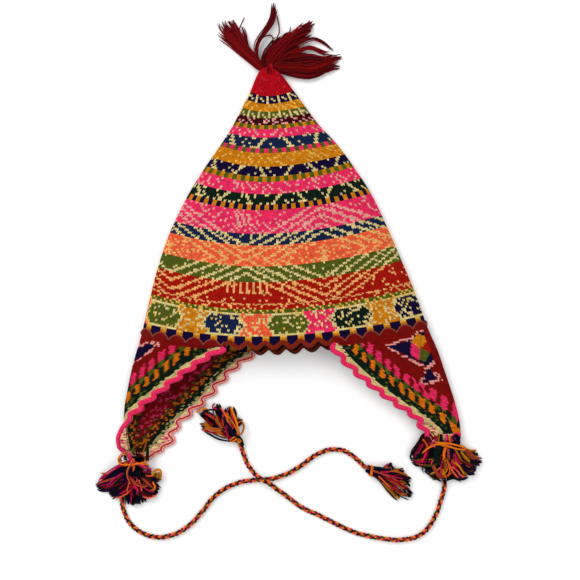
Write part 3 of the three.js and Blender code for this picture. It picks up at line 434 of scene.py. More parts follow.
# A hank is narrow where it starts and opens out, sinks in its second half and is flatter than wide
HANK_START = 0.5
HANK_OPENS = 0.15
HANK_FALL = 0.6
HANK_FLAT = 0.7

# Strands: how many fill a hank, how they sway, how far they reach and how thin each of their ends is
STRAND_FILL = 0.7
STRAND_BEAT = (3, 9)
STRAND_SWAY = (0.1, 0.4)
STRAND_REACH = 0.84
STRAND_ENDS = ((0, 0.6), (-1, 0.3), (-2, 0.8))
STRAND_SHADES = (0.55, 1.15)
STRAND_TINT = 0.07
STRAND_SIDES = 5

# Locks: how far behind the head one starts and how soon it has sunk to the floor, then its sizes
# at places along it and how much of them a hank fills
LOCK_BACK = 2.5
LOCK_FALL = 2.5
LOCK_AT = (0, 0.22, 0.5, 0.78, 1)
LOCK_WIDE = (0.5, 0.8, 1, 0.85, 0.3)
LOCK_HIGH = (0.55, 0.85, 1, 0.75, 0.3)
LOCK_FILL = (0.22, 0.3, 0.34, 0.4, 0.45)
# Where a lock's hank joins it, how far aside of its middle and below it the hank may lie, and the
# length of the hank in the neck
LOCK_FROM = 0.1
LOCK_ASIDE = 0.65
LOCK_BELOW = 0.6
NECK_STEP = 4
# Single strands over a lock: how far aside, where they start and end, how high they lie, how far
# they spread and how thin they are
STRAY_ASIDE = 0.45
STRAY_FROM = (0.05, 0.3)
STRAY_TO = (0.6, 1)
STRAY_LIFT = (0.3, 0.6)
STRAY_HALF = 1.2
STRAY_THIN = 0.8
# The wound yarn: length of a turn, points in it, and how it spreads, sways and swells
WRAP_TURN = 4
WRAP_STEPS = 28
WRAP_SIDES = 8
WRAP_SPREAD = 0.4
WRAP_SWAY = 1.3
WRAP_SWAY_BEAT = 1.7
WRAP_SWELL_BEAT = 1.3
# Clearances: under a tassel, under any yarn and between two pieces
FLOOR_GAP = 0.3
LEAST_HEIGHT = 0.1
PIECE_GAP = 0.4

# The routes of the two ties
TIES = {
    "left": [
        (-166.6, -229), (-165.8, -241.8), (-159, -256.7), (-145.2, -267.1), (-130.9, -270.4),
        (-114.4, -267.1), (-101.4, -259.2), (-89.2, -247.4), (-77.8, -234.7), (-64.8, -226.3),
        (-51.1, -221.8), (-35.6, -220.4), (-20.2, -220.2), (-2.9, -215.4), (10.4, -208.2),
        (20.4, -201.6), (29.3, -197.4), (38.1, -195.5), (45.7, -196), (52.3, -198), (61.5, -205),
        (70.4, -214.8),
    ],
    "right": [
        (146.6, -232), (145.7, -239.6), (142.5, -248.9), (138, -260.6), (132.6, -270.5),
        (125.7, -279), (118.3, -284), (111, -286.1), (96.5, -286.8), (77.6, -283.3), (57.2, -277.2),
        (38.5, -267.4), (23.3, -258.5), (6.3, -249.4), (-7.4, -237.5), (-22.5, -224.5),
        (-34.7, -215.9), (-43.6, -203.3), (-47.5, -190.3), (-49.3, -183.2),
    ],
}
CORD_DIAMETER = 5.0
CROSSING = (-27, -221)
CROSSING_FLAT = 8
CROSSING_REACH = 34
TIE_STEPS = 480
# The braid: its strands' yarns, how wide and high they swing, and the two plies of each
BRAID_YARNS = (("coral", "orange"), ("maroon", "magenta"), ("black", "olive"))
BRAID_WIDE = 1.25
BRAID_HIGH = 0.6
PLY_APART = 0.5
PLY_TWIST = 7
PLY_RADIUS = 0.78
PLY_SIDES = 6

# The edgings: the length of a wave, and where a ridge's middle runs beyond the knitting's end
EDGE_PITCH = 16.8
STEPS_A_WAVE = 24
STITCHES_A_WAVE = 8
EDGE_ROWS = 3
# The strip under a ridge: where it starts, the length of a step along it and how unevenly it is dyed
STRIP_START = -0.2
STRIP_ROW = 0.35
EDGE_UNEVEN = 0.08
RIDGE_SIDES = 14
# How high on a ridge its face starts and how low the line along its back lies
RIDGE_FACE = 0.35
RIDGE_LINE = -0.95
BRIM_RIDGE = {"near": 2.2, "far": 7.2, "half": 2.5, "high": 2.1}
FLAP_RIDGE = {"near": 1.2, "far": 5.9, "half": 2.9, "high": 2.2}
# Near a flap's neck: how far its edging turns aside and how far from the neck its waves begin,
# at the front edge and at the back one. Then how deep its waves are beside the right flap's.
EDGE_CURL = {"left": ((-11.0, 30.0), (7.0, 5.0)), "right": ((8.5, 5.0), (0.0, 5.0))}
EDGE_DEPTH = {"left": 1.3, "right": 1.0}
INWARD = np.array([1.0, 0.0, 0.3])
# From a neck the curl comes in over the first distances and goes over the others, and the waves grow
CURL_REACH = ((3, 15), (20, 46))
WAVE_GROWS = 14
NECK_STITCHES = slice(4, 57, 4)
RIM_SMOOTHINGS = 4
# Flecks in the curled part of the hem, and half its thickness
HEM_FROM = 0.25
HEM_FLECKS = (("blush", 0.4), ("magenta", 0.25), ("olive", 0.12))
HEM_HALF = 1.3
# The brim's edging: half its thickness, its blocks, and how its back and its trims differ from its face: its
# back strip and the back of its ridge are darkened as painted shade, and the ridge's sides paled as painted
# highlight
BRIM_HALF = 1.4
NAVY_SHIFT = 6
NAVY_STEPS = 15
BACK_PAINTED_SHADE = 0.8
RIDGE_PAINTED_SHADE = 0.4
RIDGE_PAINTED_HIGHLIGHT = (0.75, 0.12)
SCALLOP_TRIM = (0.8, 0.16)
OUT_STEP = 8
# The red scallops: where they start and end, and their form, rows and rim
SCALLOP_NEAR = 1.0
SCALLOP_FAR = 6.9
SCALLOP_END = 7.8
SCALLOP_ROUND = 0.75
SCALLOP_ROWS = 5
SCALLOP_HIGH = 1.3
SCALLOP_BOW = 0.7
SCALLOP_RIM = {"high": 0.9, "radius": 0.7}
# The parts of the brim that hang free of the flaps, as shares of the half width
FREE_FRONT = (-0.42, 0.33)
FREE_BACK = (0.45, -0.23)

# The crown's bands: where each ends down the front, its yarn, its fleck yarn, the share of flecks
# and how it is charted
BANDS = [
    (31, "crimson", "rose", 0.06, "plain"),
    (38.5, "navy", "cream", 0.03, "beads"),
    (46.1, "gold", "straw", 0.2, "plain"),
    (52.4, "olive", "cream", 0.03, "beads"),
    (59.1, "maroon", "blush", 0.3, "plain"),
    (63, "olive", "gold", 0, "check"),
    (71.2, "pink", "blush", 0.22, "plain"),
    (81.7, "slate", "cream", 0.05, "zigzag"),
    (86.2, "olive", "pink", 0, "check"),
    (99.3, "gold", "straw", 0.22, "plain"),
    (108.7, "navy", "cream", 0.04, "zigzag"),
    (114, "olive", "gold", 0, "check"),
    (125.6, "pink", "blush", 0.22, "plain"),
    (135.7, "bottle", "cream", 0.07, "zigzag"),
    (140.9, "navy", "gold", 0, "check"),
    (163.5, "pink", "blush", 0.16, "lozenge"),
    (174.5, "slate", "cream", 0.12, "lozenge"),
    (194.5, "coral", "peach", 0.2, "lozenge"),
    (209.4, "olive", "cream", 0.08, "lozenge"),
    (229.7, "brick", "peach", 0.08, "lozenge"),
    (231.6, "peach", "brick", 0.4, "plain"),
    (235.4, "brick", "peach", 0.2, "plain"),
    (239.1, "olive", "straw", 0.35, "plain"),
    (260.6, "cream", "straw", 0.12, "motifs"),
    (CROWN_LENGTH, "navy", "gold", 0, "blocks"),
]
CHART_REPEATS = {"beads": 5, "check": 4, "zigzag": 24}
CROWN_UNEVEN = 0.05
# How much more and how much less often than its share a place is a fleck, and every how many places
FLECKS_OFTEN = 2.2
FLECKS_SELDOM = 0.4
FLECK_REPEAT = 3

# The crown's inner face: where it starts, its coarse stitches, its flecks, the painted shade that darkens it
# and the rim at its lower edge, and the rim's stitches
INNER_START = 16
INNER_STITCHES = 112
INNER_ROW = 3.6
INNER_PURL = 0.15
INNER_LOOK = 1.5
INNER_FLECKS = 0.3
INNER_PAINTED_SHADE = 0.25
RIM_PAINTED_SHADE = 0.3
RIM_STITCHES = 200

# The charts of the bands
BLOCK_SHIFT = 2
BLOCK_STITCHES = 5
MOTIFS = ("olive", "gold", "slate", "coral", "olive", "pink", "bottle", "gold", "navy", "coral")
BEADS = ("cYYYY", "cYcYY", "cYYcY", "cYYYY")
ZIGZAG_STITCHES = CHART_REPEATS["zigzag"]
ZIGZAG_HALF = 0.8
ZIGZAG_SLANT = 3
ZIGZAG_DOTS = 6
LOZENGE_WIDE = 147.0
LOZENGE_SLOPE = 0.53
LOZENGE_X = -32.0
LOZENGE_DOWN = 188.0
LOZENGE_LINES = (22.0, 29.5, 38.0, 45.0, 52.0)
LINE_HALF = 1.15
STAR_HALF = 1.2
STAR_HIGH = 6.5
STAR_WIDE = 4.5
# Rows of upright dashes: spacing, how many on each side of the middle, and from where to where
DASH_ROWS = [(6.2, 3, 209, 220), (5.6, 1, 145, 156)]
DASH_HALF = 1.1
# Hexagons and crosses: their number round the crown, the middle of one, where their yarns start,
# and their half widths in stitches, which shrink or grow away from the middle row
MOTIF_COUNT = 18
MOTIF_X = 4.2
MOTIF_SHIFT = 4
MOTIF_FLECKS = 0.22
HEXAGON = (9.2, 4.4, 1.3)
HEXAGON_END = 0.9
CROSS_WAIST = 4.4
CROSS_FLARE = 3.2

# The flaps' patterned border: yarn, its nearest and furthest distance from the edge, and which
# part of each repeat along the edge it takes
DASH_PITCH = 12.3
DASH_SLANT = 0.75
PLAIN_ROWS = 3
FLAP_BANDS = [
    ("bottle", 2.4, 19, 0, 1),
    ("olive", 14.6, 19.4, 0.5, 0.5),
    ("orange", 9, 16, 0, 0.52),
    ("pink", 18.6, 26.6, 0.45, 0.6),
]
CREAM_ROW = 2.5
CREAM_FRAY = 1.2
CREAM_FLECKS = 0.4
# Olive flecks: how near the edge, again between which distances, and their share
GREEN_UNTIL = 9
GREEN_AGAIN = (14.6, 19)
GREEN_FLECKS = 0.12
FLAP_UNEVEN = 0.06
# A flap's inner face: how deep it lies, and how its colours are spread and mixed
INSIDE_DEPTH = KNIT_THICK - 0.2
INSIDE_PURL = 0.35
INSIDE_REACH = 1.25
INSIDE_BLUR = (1.6, 3)
INSIDE_FLECKS = (("deep_red", 8, 0.35), ("crimson", 16, 0.3))

# Figures knitted into the flaps' red ground, this far from the edge: yarn, share of stitches and outline
FIGURES_FROM = 26
FIGURES = {
    "left": [
        ("blush", 0.7, [(-150, -103), (-144, -99), (-118, -84), (-122, -80), (-140, -81), (-150, -88)]),
        ("navy", 1, [(-150, -101), (-142, -96), (-124, -84.6), (-130, -81), (-150, -90)]),
    ],
    "right": [
        ("blush", 0.7, [(94, -97), (100, -94.5), (120, -91), (126, -86), (146, -84), (150, -99),
                (149, -112), (138, -121), (134, -122.5), (114, -110.5)]),
        ("navy", 1, [(97, -98.2), (121, -93), (127, -87.6), (146, -86), (149, -99), (148, -110),
                (136, -119.5), (115, -108)]),
        ("gold", 1, [(129, -102), (121, -95), (128, -87), (139, -93)]),
        ("pink", 1, [(119, -107), (121, -95), (129, -102), (127, -113)]),
        ("olive", 1, [(129, -102), (140, -106), (133, -115), (127, -112)]),
        ("brick", 1, [(129, -102), (139, -93), (147, -101), (140, -107)]),
        ("blush", 0.7, [(135, -119), (138, -123), (151, -130), (149, -134), (127, -139), (127, -131)]),
        ("navy", 1, [(135.5, -120.5), (144.6, -131.6), (129, -136.6)]),
    ],
}

# A stitch in quarters: how far each stands out, in reliefs, and how far it leans, in rows
STITCH_RIB = (-1.0, 0.0, -0.55, 0.0)
STITCH_LEAN = (-0.3, 0.0, 0.3, 0.0)
# Wool: its fuzz, its uneven dye from one range to another, and the forms of stitches and of plies, whose
# shade is painted shade in the hollows and a slight painted highlight on the tops
WOOL_FUZZ = {"Scale": 900.0, "Detail": 3.0}
UNEVEN_DYE = (0.3, 0.7, 0.82, 1.15)
WOOL_FINISH = {"Roughness": 0.9, "Specular IOR Level": 0.08, "Sheen Weight": 0.02, "Sheen Roughness": 0.5}
KNITTED_FORM = {"shade": (0.5, 1.06), "fuzz": 0.5, "bump": {"Distance": 0.0006, "Strength": 0.8}}
PLIED_FORM = {"shade": (0.55, 1.1), "fuzz": 0.4, "bump": {"Distance": 0.0005, "Strength": 0.7}}
LEG_ROUND = 0.6
ROW_ROUND = 0.35
PLY_PITCH = 2.0

# The stage: the floor, the sky, each light's place, size and power, and the camera over the hat
FLOOR_SIZE = 6
FLOOR_GRAIN = 400.0
FLOOR_GREYS = (0.93, 0.97)
FLOOR_ROUGHNESS = 0.8
SKY_STRENGTH = 0.62
LIGHTS = (("key", (-0.7, 0.75, 1.1), 1.1, 17), ("fill", (0.9, -0.5, 1.3), 1.4, 8))
# At this level above the floor the camera sees this many metres
CAMERA = {
    "place": (0.0127, -0.0388, 1.25), "turn": -3.459, "sensor": 36, "clip": 0.01,
    "level": 0.014, "seen": 0.5568,
}


def yarn(label, text, colour):
    """A yarn colour that a user would change."""
    return FloatVectorProperty(
        name=label, description=text, default=colour, size=3, min=0, max=1, subtype="COLOR_GAMMA"
    )


def length(label, text, value):
    """A size in metres that a user would change."""
    return FloatProperty(name=label, description=text, default=value, min=0.0001, precision=4, unit="LENGTH")


class ChulloYarns(PropertyGroup):
    """The yarns of the hat."""

    crimson: yarn("Crimson", "The solid point of the crown", (0.7, 0, 0.08))
    rose: yarn("Rose", "Flecks in the crimson", (0.77, 0.08, 0.17))
    navy: yarn("Navy", "Dark blue bands and blocks", (0.055, 0, 0.19))
    gold: yarn("Gold", "Golden yellow bands", (0.81, 0.49, 0.03))
    straw: yarn("Straw", "Flecks in the gold", (0.91, 0.7, 0.3))
    olive: yarn("Olive", "Olive green bands", (0.32, 0.36, 0.08))
    maroon: yarn("Maroon", "Dark maroon band", (0.24, 0, 0.04))
    pink: yarn("Pink", "Hot pink bands and edgings", (0.93, 0.17, 0.38))
    blush: yarn("Blush", "Flecks in the pink", (0.93, 0.62, 0.58))
    slate: yarn("Slate", "Slate blue bands", (0.06, 0.13, 0.27))
    bottle: yarn("Bottle green", "Dark green bands", (0.02, 0.11, 0.07))
    coral: yarn("Coral", "Coral band", (0.95, 0.37, 0.22))
    peach: yarn("Peach", "Lines in coral and brick", (0.95, 0.68, 0.4))
    brick: yarn("Brick", "Brick red band", (0.66, 0.06, 0))
    deep_red: yarn("Deep red", "The ground of the flaps", (0.5, 0.02, 0.005))
    rust: yarn("Rust", "The brim's wavy edging", (0.5, 0.13, 0.03))
    cream: yarn("Cream", "The pale ground and flecks", (0.88, 0.79, 0.53))
    orange: yarn("Orange", "Dashes, wound yarn and strands", (0.9, 0.46, 0.02))
    magenta: yarn("Magenta", "Strands of the tassels", (0.75, 0.03, 0.3))
    black: yarn("Black", "Dark strands", (0.03, 0.01, 0.04))
    wine: yarn("Wine", "The tassel at the point", (0.46, 0, 0.02))


class ChulloSizes(PropertyGroup):
    """The sizes of the stitches and strands."""

    stitch_width: length("Stitch width", "Width of one stitch", 0.0021)
    row_height: length("Row height", "Height of one row of stitches", 0.0019)
    relief: length("Relief", "How far the knitting's ribs stand out", 0.0006)
    tassel_yarn: length("Tassel yarn", "Thickness of the flaps' and ties' tassel yarn", 0.0013)
    top_yarn: length("Top yarn", "Thickness of the top tassel's yarn", 0.0011)
    wound_yarn: length("Wound yarn", "Thickness of the yarn round a tassel's neck", 0.0016)
    tie_braid: length("Braid pitch", "Length over which a tie's strands cross", 0.013)


def smoothstep(value, low, high):
    """0 below low, 1 above high, and smooth between them."""
    t = np.clip((value - low) / (high - low), 0, 1)
    return t * t * (3 - 2 * t)


def unit(vectors):
    """Each vector at length 1."""
    return vectors / np.maximum(np.linalg.norm(vectors, axis=-1, keepdims=True), NO_LENGTH)


def travelled(line):
    """How far along a line of points each of them lies."""
    return np.concatenate([[0], np.cumsum(np.linalg.norm(np.diff(line, axis=0), axis=1))])


def line_length(line):
    """The length of a line of points."""
    return float(np.linalg.norm(np.diff(line, axis=0), axis=1).sum())


def read_at(at, along, values):
    """Points read from a line of values at other places along it."""
    return np.stack([np.interp(at, along, values[:, k]) for k in range(3)], axis=-1)


def evenly(line, count):
    """Points at even steps along a line of points."""
    along = travelled(line)
    return read_at(np.linspace(0, along[-1], count + 1), along, line)


def crossed(across, down):
    """Each pair of a value across and a value down, as a grid of places."""
    return np.stack(np.meshgrid(across, down), axis=-1)


def column(names, rows, name, at):
    """A table's column on a smooth curve through its rows."""
    table = np.array(rows, float)
    key = table[:, 0]
    values = table[:, names.index(name)]
    last = len(key) - 1
    before = np.maximum(np.arange(last + 1) - 1, 0)
    after = np.minimum(np.arange(last + 1) + 1, last)
    slope = (values[after] - values[before]) / (key[after] - key[before])
    i = np.clip(np.searchsorted(key, at, side="right") - 1, 0, last - 1)
    span = key[i + 1] - key[i]
    t = np.clip((at - key[i]) / span, 0, 1)
    h = t * t * (3 - 2 * t)
    bend = slope[i] * t * (1 - t) ** 2 - slope[i + 1] * t * t * (1 - t)
    return values[i] + (values[i + 1] - values[i]) * h + span * bend


def crown_at(name, down):
    """A value of the crown's table."""
    return column(CROWN_NAMES, CROWN_ROWS, name, down)


def front_height(distance, rise, top, radius):
    """How high the front half stands, by its distance from the fold."""
    s = 1 - np.minimum(1, distance / rise)
    return radius + (top - radius) * (1 - s**FRONT_BOW) ** FRONT_ROUND


def back_height(distance, rise, top, radius):
    """How high the back half stands before it lies flat. Its call is the front half's, top and all, but top
    is not used.
    """
    s = 1 - np.minimum(1, distance / np.minimum(BACK_BOW * radius, rise))
    return radius * (1 - np.sqrt(1 - s * s))


def soft_fold_depth(x, down):
    """The depth of the soft folds in the front."""
    depth = 0
    up = (CROWN_LENGTH - down) / CROWN_LENGTH
    for brim_x, point_x, half_width, reach, most in SOFT_FOLDS:
        centre = brim_x + (point_x - brim_x) * up
        width = half_width * (1 - SOFT_NARROWING * up)
        fade = smoothstep(down, CROWN_LENGTH - reach, CROWN_LENGTH - SOFT_FULL)
        depth = depth + most * fade * np.exp(-(((x - centre) / width) ** 2))
    return depth


def crown_point(front, share, down):
    """A point of the crown's outer face, from the left fold at share -1 to the right one at 1."""
    share, down, front = np.broadcast_arrays(share, down, front)
    fold_x = np.where(share < 0, -crown_at("left_x", down), crown_at("right_x", down))
    fold_y = np.where(share < 0, crown_at("left_y", down), crown_at("right_y", down))
    top = crown_at("top", down)
    radius = np.minimum(FOLD_RADIUS, top / 2)
    middle_y = POINT_Y - down * np.where(front, 1, BACK_STRETCH)
    x = share * fold_x
    y = middle_y + (fold_y - middle_y) * share**2
    distance = fold_x * (1 - np.abs(share))
    dip = soft_fold_depth(x, down) * (1 - share**4)
    high = np.where(
        front,
        front_height(distance, fold_x, top, radius) - dip,
        back_height(distance, fold_x, top, radius),
    )
    lift = HEM_LIFT * smoothstep(down, LIFT_FROM, CROWN_LENGTH)
    return np.stack([x, y, high + lift], axis=-1)


def round_crown(turn, down):
    """Once round the crown: 0 is the left fold, 0.5 the right one, and the front lies between."""
    t = turn - np.floor(turn)
    front = t <= 0.5
    swing = np.where(front, 4 * t - 1, 3 - 4 * t)
    return crown_point(front, np.sin(swing * math.pi / 2), down)


def turn_at(front, share):
    """The place round the crown of a share of its half width."""
    swing = math.asin(share) * 2 / math.pi
    return (swing + 1) / 4 if front else (3 - swing) / 4


def crown_normal(turn, down):
    """The way out of the crown's wall."""
    across = round_crown(turn + TURN_STEP, down) - round_crown(turn - TURN_STEP, down)
    along = round_crown(turn, down + DOWN_STEP) - round_crown(turn, down - DOWN_STEP)
    return unit(np.cross(along, across))


def ring_line(down):
    """The crown's outline at one depth, from the left fold once round."""
    return round_crown(np.linspace(0, ONCE_ROUND, RING_STEPS), np.full(RING_STEPS, float(down)))


def brim_waves():
    """How many waves the brim's edging has."""
    return round(line_length(ring_line(RIM_DOWN)) / EDGE_PITCH)


def flap_table(flap):
    """A flap's rows, with the crown's own lower edge as the first one."""
    side = "left" if flap["side"] < 0 else "right"
    front = crown_point(True, flap["side"] * flap["front_share"], FLAP_START)
    back = crown_point(False, flap["side"] * flap["back_share"], FLAP_START)
    fold_x, fold_y, top = (float(crown_at(name, FLAP_START)) for name in (f"{side}_x", f"{side}_y", "top"))
    first = (0, front[0], front[1], fold_x, fold_y, back[0], back[1], top, FOLD_RADIUS, abs(fold_x))
    return [first, *flap["rows"]]


def flap_point(table, at, is_front, share):
    """Points of a flap's outer face, at shares of the way from its fold to an edge."""
    value = {name: float(column(FLAP_NAMES, table, name, at)) for name in FLAP_NAMES}
    edge = "front" if is_front else "back"
    fold = np.array([value["fold_x"], value["fold_y"]])
    rim = np.array([value[f"{edge}_x"], value[f"{edge}_y"]])
    plan = fold + (rim - fold) * share[:, None]
    distance = np.linalg.norm(plan - fold, axis=1)
    height = front_height if is_front else back_height
    high = height(distance, value["rise"], value["top"], value["radius"])
    return np.column_stack([plan, high + HEM_LIFT])


def flap_line(flap, at):
    """One row of a flap's outer face, from its front edge round the fold to its back edge."""
    table = flap_table(flap)
    share = (np.arange(FLAP_STEPS + 1) / FLAP_STEPS) ** 2
    halves = []
    for is_front in (True, False):
        points = flap_point(table, at, is_front, share)
        if at < 1:
            edge = flap["front_share"] if is_front else flap["back_share"]
            crown = crown_point(is_front, flap["side"] * (1 - share * (1 - edge)), FLAP_START)
            points = points + (crown - flap_point(table, 0, is_front, share)) * (1 - at)
        halves.append(points)
    return np.vstack([halves[0][::-1], halves[1][1:]])


class Pile:
    """Collects one piece's faces, each with its yarn colour and its place in the stitches."""

    def __init__(self):
        self.points = []
        self.quads = []
        self.colours = []
        self.places = []
        self.count = 0

    def grid(self, points, colours, places, flip=False):
        """Adds a grid of points (a, b, 3) with a colour for each quad and a place for each point."""
        rows, columns = points.shape[:2]
        index = self.count + np.arange(rows * columns).reshape(rows, columns)
        corners = [index[:-1, :-1], index[:-1, 1:], index[1:, 1:], index[1:, :-1]]
        if flip:
            corners.reverse()
        self.points.append(points.reshape(-1, 3))
        self.quads.append(np.stack(corners, axis=-1).reshape(-1, 4))
        self.colours.append(np.broadcast_to(colours, (rows - 1, columns - 1, 3)).reshape(-1, 3))
        self.places.append(np.broadcast_to(places, (rows, columns, 2)).reshape(-1, 2))
        self.count += rows * columns

    def tubes(self, paths, radii, colours, sides):
        """Adds a tube along each path (s, n, 3), with a radius for each point and a colour for each path."""
        paths = np.asarray(paths, float)
        radii = np.broadcast_to(radii, paths.shape[:2])
        forward = unit(np.gradient(paths, axis=1))
        side = unit(np.cross(forward, UP + OFF_UPRIGHT))
        up = np.cross(side, forward)
        angle = np.linspace(0, 2 * math.pi, sides + 1)[:, None]
        around = side[:, :, None] * np.cos(angle) + up[:, :, None] * np.sin(angle)
        skin = paths[:, :, None] + around * radii[:, :, None, None]
        colours = np.broadcast_to(colours, (len(paths), 3))
        for path, tube, colour in zip(paths, skin, colours):
            places = crossed(np.linspace(0, 1, sides + 1), travelled(path) / PLY_PITCH)[..., ::-1]
            self.grid(tube, colour, places, flip=True)

    def build(self, name, material):
        """Makes the mesh object, in the part's own frame and in metres."""
        points = np.vstack(self.points) + [HAT_AXIS_X, 0, 0]
        points[:, 2] = np.maximum(points[:, 2], LEAST_HEIGHT)
        points = points * MM
        quads = np.vstack(self.quads)
        places = np.vstack(self.places)[quads].reshape(-1, 2)
        colours = np.repeat(np.vstack(self.colours), 4, axis=0)
        colours = np.column_stack([np.clip(colours, 0, 1), np.ones(len(colours))])
        mesh = bpy.data.meshes.new(name)
        mesh.vertices.add(len(points))
        mesh.vertices.foreach_set("co", points.ravel())
        mesh.loops.add(len(quads) * 4)
        mesh.loops.foreach_set("vertex_index", quads.ravel().astype(np.int32))
        mesh.polygons.add(len(quads))
        mesh.polygons.foreach_set("loop_start", np.arange(0, len(quads) * 4, 4, dtype=np.int32))
        mesh.polygons.foreach_set("use_smooth", np.ones(len(quads), bool))
        mesh.update(calc_edges=True)
        mesh.uv_layers.new(name="Stitches").data.foreach_set("uv", places.ravel())
        yarns = mesh.color_attributes.new("Yarn", "BYTE_COLOR", "CORNER")
        yarns.data.foreach_set("color_srgb", colours.ravel())
        mesh.validate()
        mesh.materials.append(material)
        piece = bpy.data.objects.new(name, mesh)
        bpy.context.scene.collection.objects.link(piece)
        return piece


def knit(pile, lines, colours, relief, normal_sign=1.0, first_row=0):
    """Adds a tier of stitches: lines (rows + 1, 4 * stitches + 1, 3), colours (rows, stitches, 3)."""
    rows, columns = lines.shape[0] - 1, lines.shape[1] - 1
    along = np.gradient(lines, axis=0)
    normal = unit(np.cross(along, np.gradient(lines, axis=1))) * normal_sign
    phase = np.arange(columns + 1) % 4
    rib = np.array(STITCH_RIB)[phase] * relief
    fade = np.ones(rows + 1)
    fade[[0, -1]] = 0
    lean = np.array(STITCH_LEAN)[phase] * fade[:, None]
    points = lines + along * lean[..., None] + normal * rib[None, :, None]
    places = crossed(np.arange(columns + 1) / 4, first_row + np.arange(rows + 1.0))
    pile.grid(points, np.repeat(colours, 4, axis=1), places, flip=normal_sign > 0)


def new_tree(name):
    """A new material with its Principled shader."""
    material = bpy.data.materials.new(name)
    material.use_nodes = True
    shader = material.node_tree.nodes["Principled BSDF"]
    return material, material.node_tree, shader


def node(tree, kind, inputs=None, **settings):
    """Adds a node, with its settings, and its inputs as values or as sockets to link."""
    new = tree.nodes.new(kind)
    for name, value in settings.items():
        setattr(new, name, value)
    for key, value in (inputs or {}).items():
        if isinstance(value, bpy.types.NodeSocket):
            tree.links.new(value, new.inputs[key])
        else:
            new.inputs[key].default_value = value
    return new


def sums(tree, operation, first, second=0.0):
    """A Math node's value."""
    return node(tree, "ShaderNodeMath", {0: first, 1: second}, operation=operation).outputs[0]


def half_wave(tree, value):
    """One rounded hump for every whole step of a value."""
    return sums(tree, "SINE", sums(tree, "MULTIPLY", value, math.pi))


def mapped(tree, value, low, high, to_low, to_high):
    """A value moved from one range to another."""
    inputs = {"Value": value, "From Min": low, "From Max": high, "To Min": to_low, "To Max": to_high}
    return node(tree, "ShaderNodeMapRange", inputs).outputs["Result"]


def stitch_place(tree):
    """Where a point lies across its stitches and along its rows."""
    place = node(tree, "ShaderNodeUVMap", uv_map="Stitches").outputs["UV"]
    parts = node(tree, "ShaderNodeSeparateXYZ", {0: place})
    return parts.outputs[0], parts.outputs[1]


def wool_shader(tree, shader, shape, form):
    """The yarn's own colour and finish, mottled by uneven dye, with painted shade in the hollows of a shape
    and a slight painted highlight on its tops.
    """
    yarn_colour = node(tree, "ShaderNodeVertexColor", layer_name="Yarn").outputs["Color"]
    place = node(tree, "ShaderNodeTexCoord").outputs["Object"]
    fuzz = node(tree, "ShaderNodeTexNoise", {"Vector": place, **WOOL_FUZZ}).outputs["Fac"]
    # Painted shade: the colour is darkened in the hollows of the stitch or ply shape and a little lightened
    # on its tops
    depth = mapped(tree, shape, 0.0, 1.0, *form["shade"])
    painted_shade_and_dye = sums(tree, "MULTIPLY", depth, mapped(tree, fuzz, *UNEVEN_DYE))
    colour = node(tree, "ShaderNodeVectorMath", {0: yarn_colour, "Scale": painted_shade_and_dye}, operation="SCALE").outputs[0]
    height = sums(tree, "ADD", shape, sums(tree, "MULTIPLY", fuzz, form["fuzz"]))
    bump = node(tree, "ShaderNodeBump", {"Height": height, **form["bump"]})
    tree.links.new(colour, shader.inputs["Base Color"])
    tree.links.new(bump.outputs["Normal"], shader.inputs["Normal"])
    for name, value in WOOL_FINISH.items():
        shader.inputs[name].default_value = value


def knitted_wool(tree, shader):
    """Stocking stitch: two legs to a stitch, each a rounded strand of wool."""
    across, along = stitch_place(tree)
    leg = half_wave(tree, sums(tree, "FRACT", sums(tree, "MULTIPLY", across, 2.0)))
    row = half_wave(tree, sums(tree, "FRACT", along))
    stitch = sums(tree, "MULTIPLY", sums(tree, "POWER", leg, LEG_ROUND), sums(tree, "POWER", row, ROW_ROUND))
    wool_shader(tree, shader, stitch, KNITTED_FORM)


def plied_wool(tree, shader):
    """Plied yarn: slanting plies along each strand."""
    along, around = stitch_place(tree)
    slant = sums(tree, "ADD", along, sums(tree, "MULTIPLY", around, 2.0))
    wool_shader(tree, shader, sums(tree, "ABSOLUTE", half_wave(tree, slant)), PLIED_FORM)


def wool(make):
    """A finish of wool, made once."""
    name = make.__name__.replace("_", " ").capitalize()
    if name in bpy.data.materials:
        return bpy.data.materials[name]
    material, tree, shader = new_tree(name)
    make(tree, shader)
    return material


def settle(pile, name, node_name, finish):
    """Builds a piece and puts it in the place of its CAD node."""
    piece = pile.build(name, wool(finish))
    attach(piece, "root")
    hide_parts(node_name)
    return piece


def palette():
    """Every yarn colour by name."""
    yarns = bpy.context.scene.chullo_yarns
    return {name: np.array(getattr(yarns, name)) for name in ChulloYarns.__annotations__}


def darker(colour, amount):
    """A colour moved towards black, for painted shade."""
    return colour * (1 - amount)


def paler(colour, share, white):
    """A share of a colour with some white added."""
    return colour * share + white


def uneven(colours, spread, rng):
    """Makes each stitch a little lighter or darker."""
    return colours * rng.normal(1, spread, colours.shape[:2] + (1,))


def flecked(colours, ground, fleck, share, rng):
    """Turns some of the ground stitches into flecks, spread evenly rather than in clumps."""
    row, stitch = np.indices(colours.shape[:2])
    often = (stitch + 2 * row) % FLECK_REPEAT == 0
    hit = rng.random(row.shape) < np.where(often, FLECKS_OFTEN, FLECKS_SELDOM) * share
    same = np.all(np.isclose(colours, ground), axis=-1)
    colours[hit & same] = fleck
    return colours


